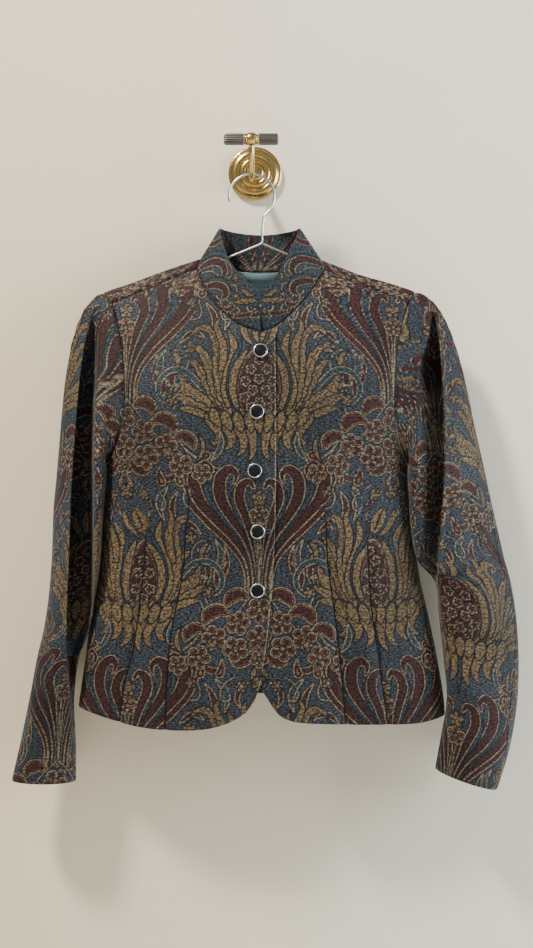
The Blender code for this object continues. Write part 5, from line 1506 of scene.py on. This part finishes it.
def turned(name, profile, steps, place, material, ribs=None):
    """A piece turned about its axis. Its profile, radius and height, starts and ends on the axis, or else is
    closed."""
    turn = np.linspace(0, 2 * np.pi, steps, endpoint=False)
    inner = [pair for pair in profile if pair[0] > 0]
    rings = []
    for radius, height in inner:
        local = radius if ribs is None else radius * ribs(turn, radius)
        rings.append(np.stack([local * np.cos(turn), local * np.sin(turn), np.full(steps, height)], -1))
    ids = np.arange(len(inner) * steps).reshape(len(inner), steps)
    capped = profile[0][0] == 0
    loop = ids if capped else np.concatenate([ids, ids[:1]])
    faces = ring_faces(loop[1:], loop[:-1])
    points = np.concatenate(rings)
    if capped:
        top, bottom = len(points), len(points) + 1
        points = np.concatenate([points, [(0, 0, profile[0][1]), (0, 0, profile[-1][1])]])
        faces += [[int(a), int(b), top] for a, b in zip(ids[0], np.roll(ids[0], -1))]
        faces += [[int(b), int(a), bottom] for a, b in zip(ids[-1], np.roll(ids[-1], -1))]
    points = points @ np.array(place.to_3x3()).T + np.array(place.translation)
    return solid(name, points, faces, material, TURNED_SHARP)


def joined_tubes(name, lines, radius, sides, closed, material):
    """One piece from many small tubes."""
    points, faces, count = [], [], 0
    for line in lines:
        tube_points, tube_faces = tube_parts(line, radius, sides, closed, count)
        points.append(tube_points)
        faces += tube_faces
        count += len(tube_points)
    return solid(name, np.concatenate(points), faces, material)


def stitch_line(side):
    """Topstitching from the neck down the lap edge and along the hem: lengths, places as x and z, whole
    length."""
    edge = np.stack(along(EDGES[side]["lap"], np.linspace(1, 0, STITCH_EDGE_POINTS)), -1)
    hem = np.stack(along(EDGES[side]["hem"], np.linspace(0, 1, STITCH_HEM_POINTS)), -1)
    line = np.concatenate([edge, hem[1:]])
    reached = run_lengths(line)
    line = at_lengths(line, reached, np.arange(0.0, reached[-1], STITCH_FINE))
    window = np.ones(STITCH_WINDOW) / STITCH_WINDOW
    padded = [np.pad(axis, STITCH_WINDOW // 2, "edge") for axis in np.gradient(line, axis=0).T]
    tangent = unit(np.stack([np.convolve(axis, window, "valid") for axis in padded], -1))
    line = line - np.stack([tangent[:, 1], -tangent[:, 0]], -1) * OUTWARD[side] * STITCH_INSET
    reached = run_lengths(line)
    place = np.arange(0.0, reached[-1], STITCH_LENGTH / 2)
    return place, at_lengths(line, reached, place), reached[-1]


def stitching(side, material):
    """Topstitches of a front, each a short round thread. On the left front only those that show."""
    place, line, length = stitch_line(side)
    x, z = line.T
    way = (side == "left", True)
    normals = body_normal(x, z, *way)
    lift = front_push(side, x, z) - STITCH_SINK + STITCH_LIFT
    points = body_point(x, z, *way) + normals * lift[:, None]
    threads = []
    for start in np.arange(STITCH_INSET, length - STITCH_INSET, STITCH_STEP):
        along_it = start + STITCH_LENGTH * np.array(STITCH_SHARES)
        core = at_lengths(points, place, along_it)
        if core[0, 2] <= STITCH_TOP[side]:
            threads.append(core + at_lengths(normals, place, along_it) * np.array(STITCH_DIP)[:, None])
    return joined_tubes(f"stitching_{side}", threads, STITCH_RADIUS, STITCH_SIDES, False, material)


def buttonholes(material):
    """Worked buttonholes that show beside the buttons."""
    turn = np.linspace(0, 2 * np.pi, HOLE_POINTS, endpoint=False)
    straight = np.clip(np.cos(turn) * HOLE_SQUARE_X, -1, 1) * (HOLE_LENGTH - HOLE_WIDTH) / 2
    loops = []
    for x, z in BUTTONS:
        hole_x = x + HOLE_SHIFT + straight + np.cos(turn) * HOLE_WIDTH / 2
        hole_z = z + np.clip(np.sin(turn) * HOLE_SQUARE_Z, -1, 1) * HOLE_WIDTH / 2
        lift = body_normal(hole_x, hole_z, False, True) * HOLE_LIFT
        loops.append(body_point(hole_x, hole_z, False, True) + lift)
    return joined_tubes("buttonholes", loops, HOLE_RADIUS, HOLE_SIDES, True, material)


def button_pieces(black, silver):
    """Buttons and their rims, on the lap."""
    made = []
    for number, (x, z) in enumerate(BUTTONS, 1):
        x, z = np.array([x]), np.array([z])
        normal = Vector(body_normal(x, z, False, True)[0])
        seat = Vector(body_point(x, z, False, True)[0]) + normal * SEAM_GAP
        place = Matrix.Translation(seat) @ normal.to_track_quat("Z", "Y").to_matrix().to_4x4()
        disc = turned(f"disc_{number}", DISC, DISC_TURNS, place, black)
        ring = turned(f"ring_{number}", RIM, RIM_TURNS, place, silver)
        made += [(disc, f"button_{number}", "button_black"), (ring, f"rim_{number}", "button_rim")]
    return made


def hanger_shoulder(bend, seat_x, end_x):
    """One shoulder of the hanger, from the fork to its end, as x and z."""
    way = math.copysign(1.0, end_x)
    line = [(FORK_X + way * FORK_OUT, FORK_Z), bend]
    for share in np.linspace(0, 1, SHOULDER_POINTS):
        x = seat_x + (end_x - seat_x) * share
        line.append((x, float(ridge_z(x)) - WALL - WIRE_GAP - WIRE_SINK * share - WIRE_RADIUS))
    corner = end_x + way * HANGER_CORNER
    low_corner = (corner, HANGER_BAR_Z + HANGER_CORNER)
    return [*line, (corner, line[-1][1] - HANGER_CORNER), low_corner, (end_x, HANGER_BAR_Z)]


def hanger_piece(material):
    """Hanger bent from one wire: hook, neck, one shoulder, the bar and the other shoulder."""
    hook_z = ARM_SEAT_Z + SEAM_GAP + WIRE_RADIUS - HOOK_RADIUS
    turn = np.radians(np.linspace(HOOK_TIP_ANGLE, HOOK_THROAT_ANGLE, HOOK_POINTS))
    hook = np.stack([HOOK_X + HOOK_RADIUS * np.cos(turn), hook_z + HOOK_RADIUS * np.sin(turn)], -1)
    right, left = (hanger_shoulder(*shoulder) for shoulder in HANGER_SHOULDERS)
    line = np.concatenate([hook, [(FORK_X, HANGER_NECK_Z), (FORK_X, FORK_TOP_Z)], right, left[::-1]])
    reached = run_lengths(line)
    line = at_lengths(line, reached, np.linspace(0.0, reached[-1], round(reached[-1] / WIRE_STEP)))
    for _ in range(WIRE_BENDING):
        line[1:-1] = (line[:-2] + 2 * line[1:-1] + line[2:]) / 4
    points = np.stack([line[:, 0], np.full(len(line), HANGER_Y), line[:, 1]], -1)
    return solid("wire", *tube_parts(points, WIRE_RADIUS, WIRE_SIDES), material)


def bar_ribs(turn, radius):
    """Share of the radius that is left between the ribs of the bar. Its end is smooth."""
    depth = RIB_DEPTH * float(ease(RIB_FROM, RIB_FULL, radius))
    return 1 - depth * (1 - np.abs(np.sin(turn * BAR_RIBS / 2)))


def hook_pieces(brass, bronze):
    """Wall hook: stepped plate, upturned arm, and a reeded cross bar with a turned knob in its middle."""
    plate = turned("rosette", PLATE, PLATE_TURNS, Matrix.Rotation(math.radians(90), 4, "X"), brass)
    share = np.linspace(0, 1, ARM_POINTS)
    y, z = along(ARM_LINE, share)
    radii = smooth(*zip(*ARM_RADII), share)
    arm_points = np.stack([np.full(ARM_POINTS, ARM_X), y, z], -1)
    arm = solid("arm", *tube_parts(arm_points, radii, ARM_SIDES), brass)
    to_left, to_right = (
        Matrix.Translation(BAR_CENTRE) @ Matrix.Rotation(math.radians(angle), 4, "Y") for angle in (90, -90)
    )
    knob_profile = (*KNOB_HALF, KNOB_WAIST, *((radius, -height) for radius, height in KNOB_HALF[::-1]))
    knob = turned("knob", knob_profile, KNOB_TURNS, to_left, brass)
    pieces = {"hook_plate": plate, "hook_arm": arm, "hook_knob": knob}
    made = [(piece, node_name, "hook_brass") for node_name, piece in pieces.items()]
    for side, place in (("left", to_left), ("right", to_right)):
        bar = turned(f"bar_{side}", BAR, BAR_TURNS, place, bronze, bar_ribs)
        made.append((bar, f"hook_bar_{side}", "hook_bronze"))
    return made


def plaster(name, low, high):
    """Pale matt plaster, uneven, with painted warm light that leaves it warmer and darker towards the left;
    it can't be seen from behind.
    """
    made = Finish(name)
    place = made.place()
    clouds = made.ramp(made.noise(place, *PLASTER_CLOUDS), *PLASTER_SPAN)
    x = made.add("ShaderNodeSeparateXYZ", {0: place})
    # Painted light: the plaster turns warmer and darker towards the left
    painted_warm_light_fade = made.ramp(x, *PAINTED_WARM_LIGHT_SPAN, interpolation_type="SMOOTHSTEP")
    base = made.mix(made.sums("ADD", painted_warm_light_fade, clouds), low, high)
    front = made.add("ShaderNodeBsdfDiffuse", {"Color": base})
    clear = made.add("ShaderNodeBsdfTransparent", {})
    behind = made.add("ShaderNodeNewGeometry", {}, "Backfacing")
    return made.end(made.add("ShaderNodeMixShader", {0: behind, 1: front, 2: clear}))


def corners(low, high):
    """Corners of a face as wide as the room, from low to high."""
    return (-ROOM, low), (ROOM, low), (ROOM, high), (-ROOM, high)


def plane(name, points, paint_colours):
    """One staged face."""
    mesh = bpy.data.meshes.new(name)
    mesh.from_pydata(points, [], [(0, 1, 2, 3)])
    mesh.materials.append(plaster(name, *paint_colours))
    made = linked(name, mesh)
    return made


def area_light(name, place, target, size, power, tint):
    """A soft square light."""
    light = bpy.data.lights.new(name, "AREA")
    light.shape, light.size, light.energy, light.color = "SQUARE", size, power, tint
    made = linked(name, light)
    made.location = place
    made.rotation_euler = (Vector(target) - Vector(place)).to_track_quat("-Z", "Y").to_euler()


def add_stage():
    """Pale floor, the plain wall that the hook sits on, soft light, and the camera of the photograph. The
    wall casts nothing, so that the light behind it reaches the back of the jacket."""
    plane("floor", [(x, y, FLOOR_Z) for x, y in corners(-ROOM, ROOM)], FLOOR_PAINT)
    wall = plane("wall", [(x, WALL_Y, z) for x, z in corners(FLOOR_Z, WALL_TOP)], WALL_PAINT)
    wall.visible_diffuse = wall.visible_glossy = wall.visible_transmission = wall.visible_shadow = False
    for name, light in LIGHTS.items():
        area_light(name, *light)
    world = bpy.data.worlds.new("pale room")
    world.use_nodes = True
    background = world.node_tree.nodes["Background"]
    background.inputs["Color"].default_value = ROOM_LIGHT
    background.inputs["Strength"].default_value = ROOM_STRENGTH
    bpy.context.scene.world = world
    camera = bpy.data.cameras.new("camera")
    camera.sensor_width, camera.lens = CAMERA_SENSOR, CAMERA_LENS
    made = linked("camera", camera)
    made.location = CAMERA_PLACE
    made.rotation_euler = (math.radians(90), 0.0, 0.0)
    bpy.context.scene.camera = made


def declare(piece, nodes, slot):
    """A piece that moves with the body and stands for CAD nodes."""
    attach(piece, BODY)
    if nodes:
        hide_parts(*nodes)


def cad_nodes(name):
    """CAD nodes of a cloth piece. A sleeve piece is in three lengths there."""
    return [f"{name}_{length}" for length in ("cuff", "arm", "cap")] if "sleeve" in name else [name]


brocade, lining = brocade_finish(), lining_finish()
hard = {name: hard_finish(name) for name in HARD}

wire = hanger_piece(hard["steel"])
declare(wire, ["hanger_wire"], "hanger_steel")
for piece, node_name, slot_name in hook_pieces(hard["brass"], hard["bronze"]):
    declare(piece, [node_name], slot_name)
on_it = {"front_right": [], "front_left": []}
for piece, node_name, slot_name in button_pieces(hard["jet"], hard["silver"]):
    declare(piece, [node_name], slot_name)
    on_it["front_right"].append(piece)
sewn_on = [stitching("right", hard["thread"]), buttonholes(hard["thread"]), stitching("left", hard["thread"])]
for piece, front in zip(sewn_on, ("front_right", "front_right", "front_left")):
    declare(piece, [], "brocade")
    on_it[front].append(piece)

repeat = draw_repeat(MOTIFS, FLOWERS, SEEDS)
cloth = {f"front_{side}": front_piece(side, repeat) for side in OUTWARD}
cloth["back"] = back_piece(repeat)
cloth["collar"] = collar_piece(draw_repeat(COLLAR_MOTIFS, COLLAR_FLOWERS, ()))
for side in OUTWARD:
    for part in SLEEVE_PARTS:
        cloth[f"sleeve_{side}_{part}"] = sleeve_piece(side, part, repeat)
cloth["lining_back"] = lining_piece()
for name, piece in cloth.items():
    is_lining = name == "lining_back"
    piece.data.materials.append(lining if is_lining else brocade)
    declare(piece, cad_nodes(name), "lining" if is_lining else "brocade")
    width, length, area = CUTS[name]
    with_pieces = on_it.get(name, [])
    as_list(with_pieces)

add_stage()
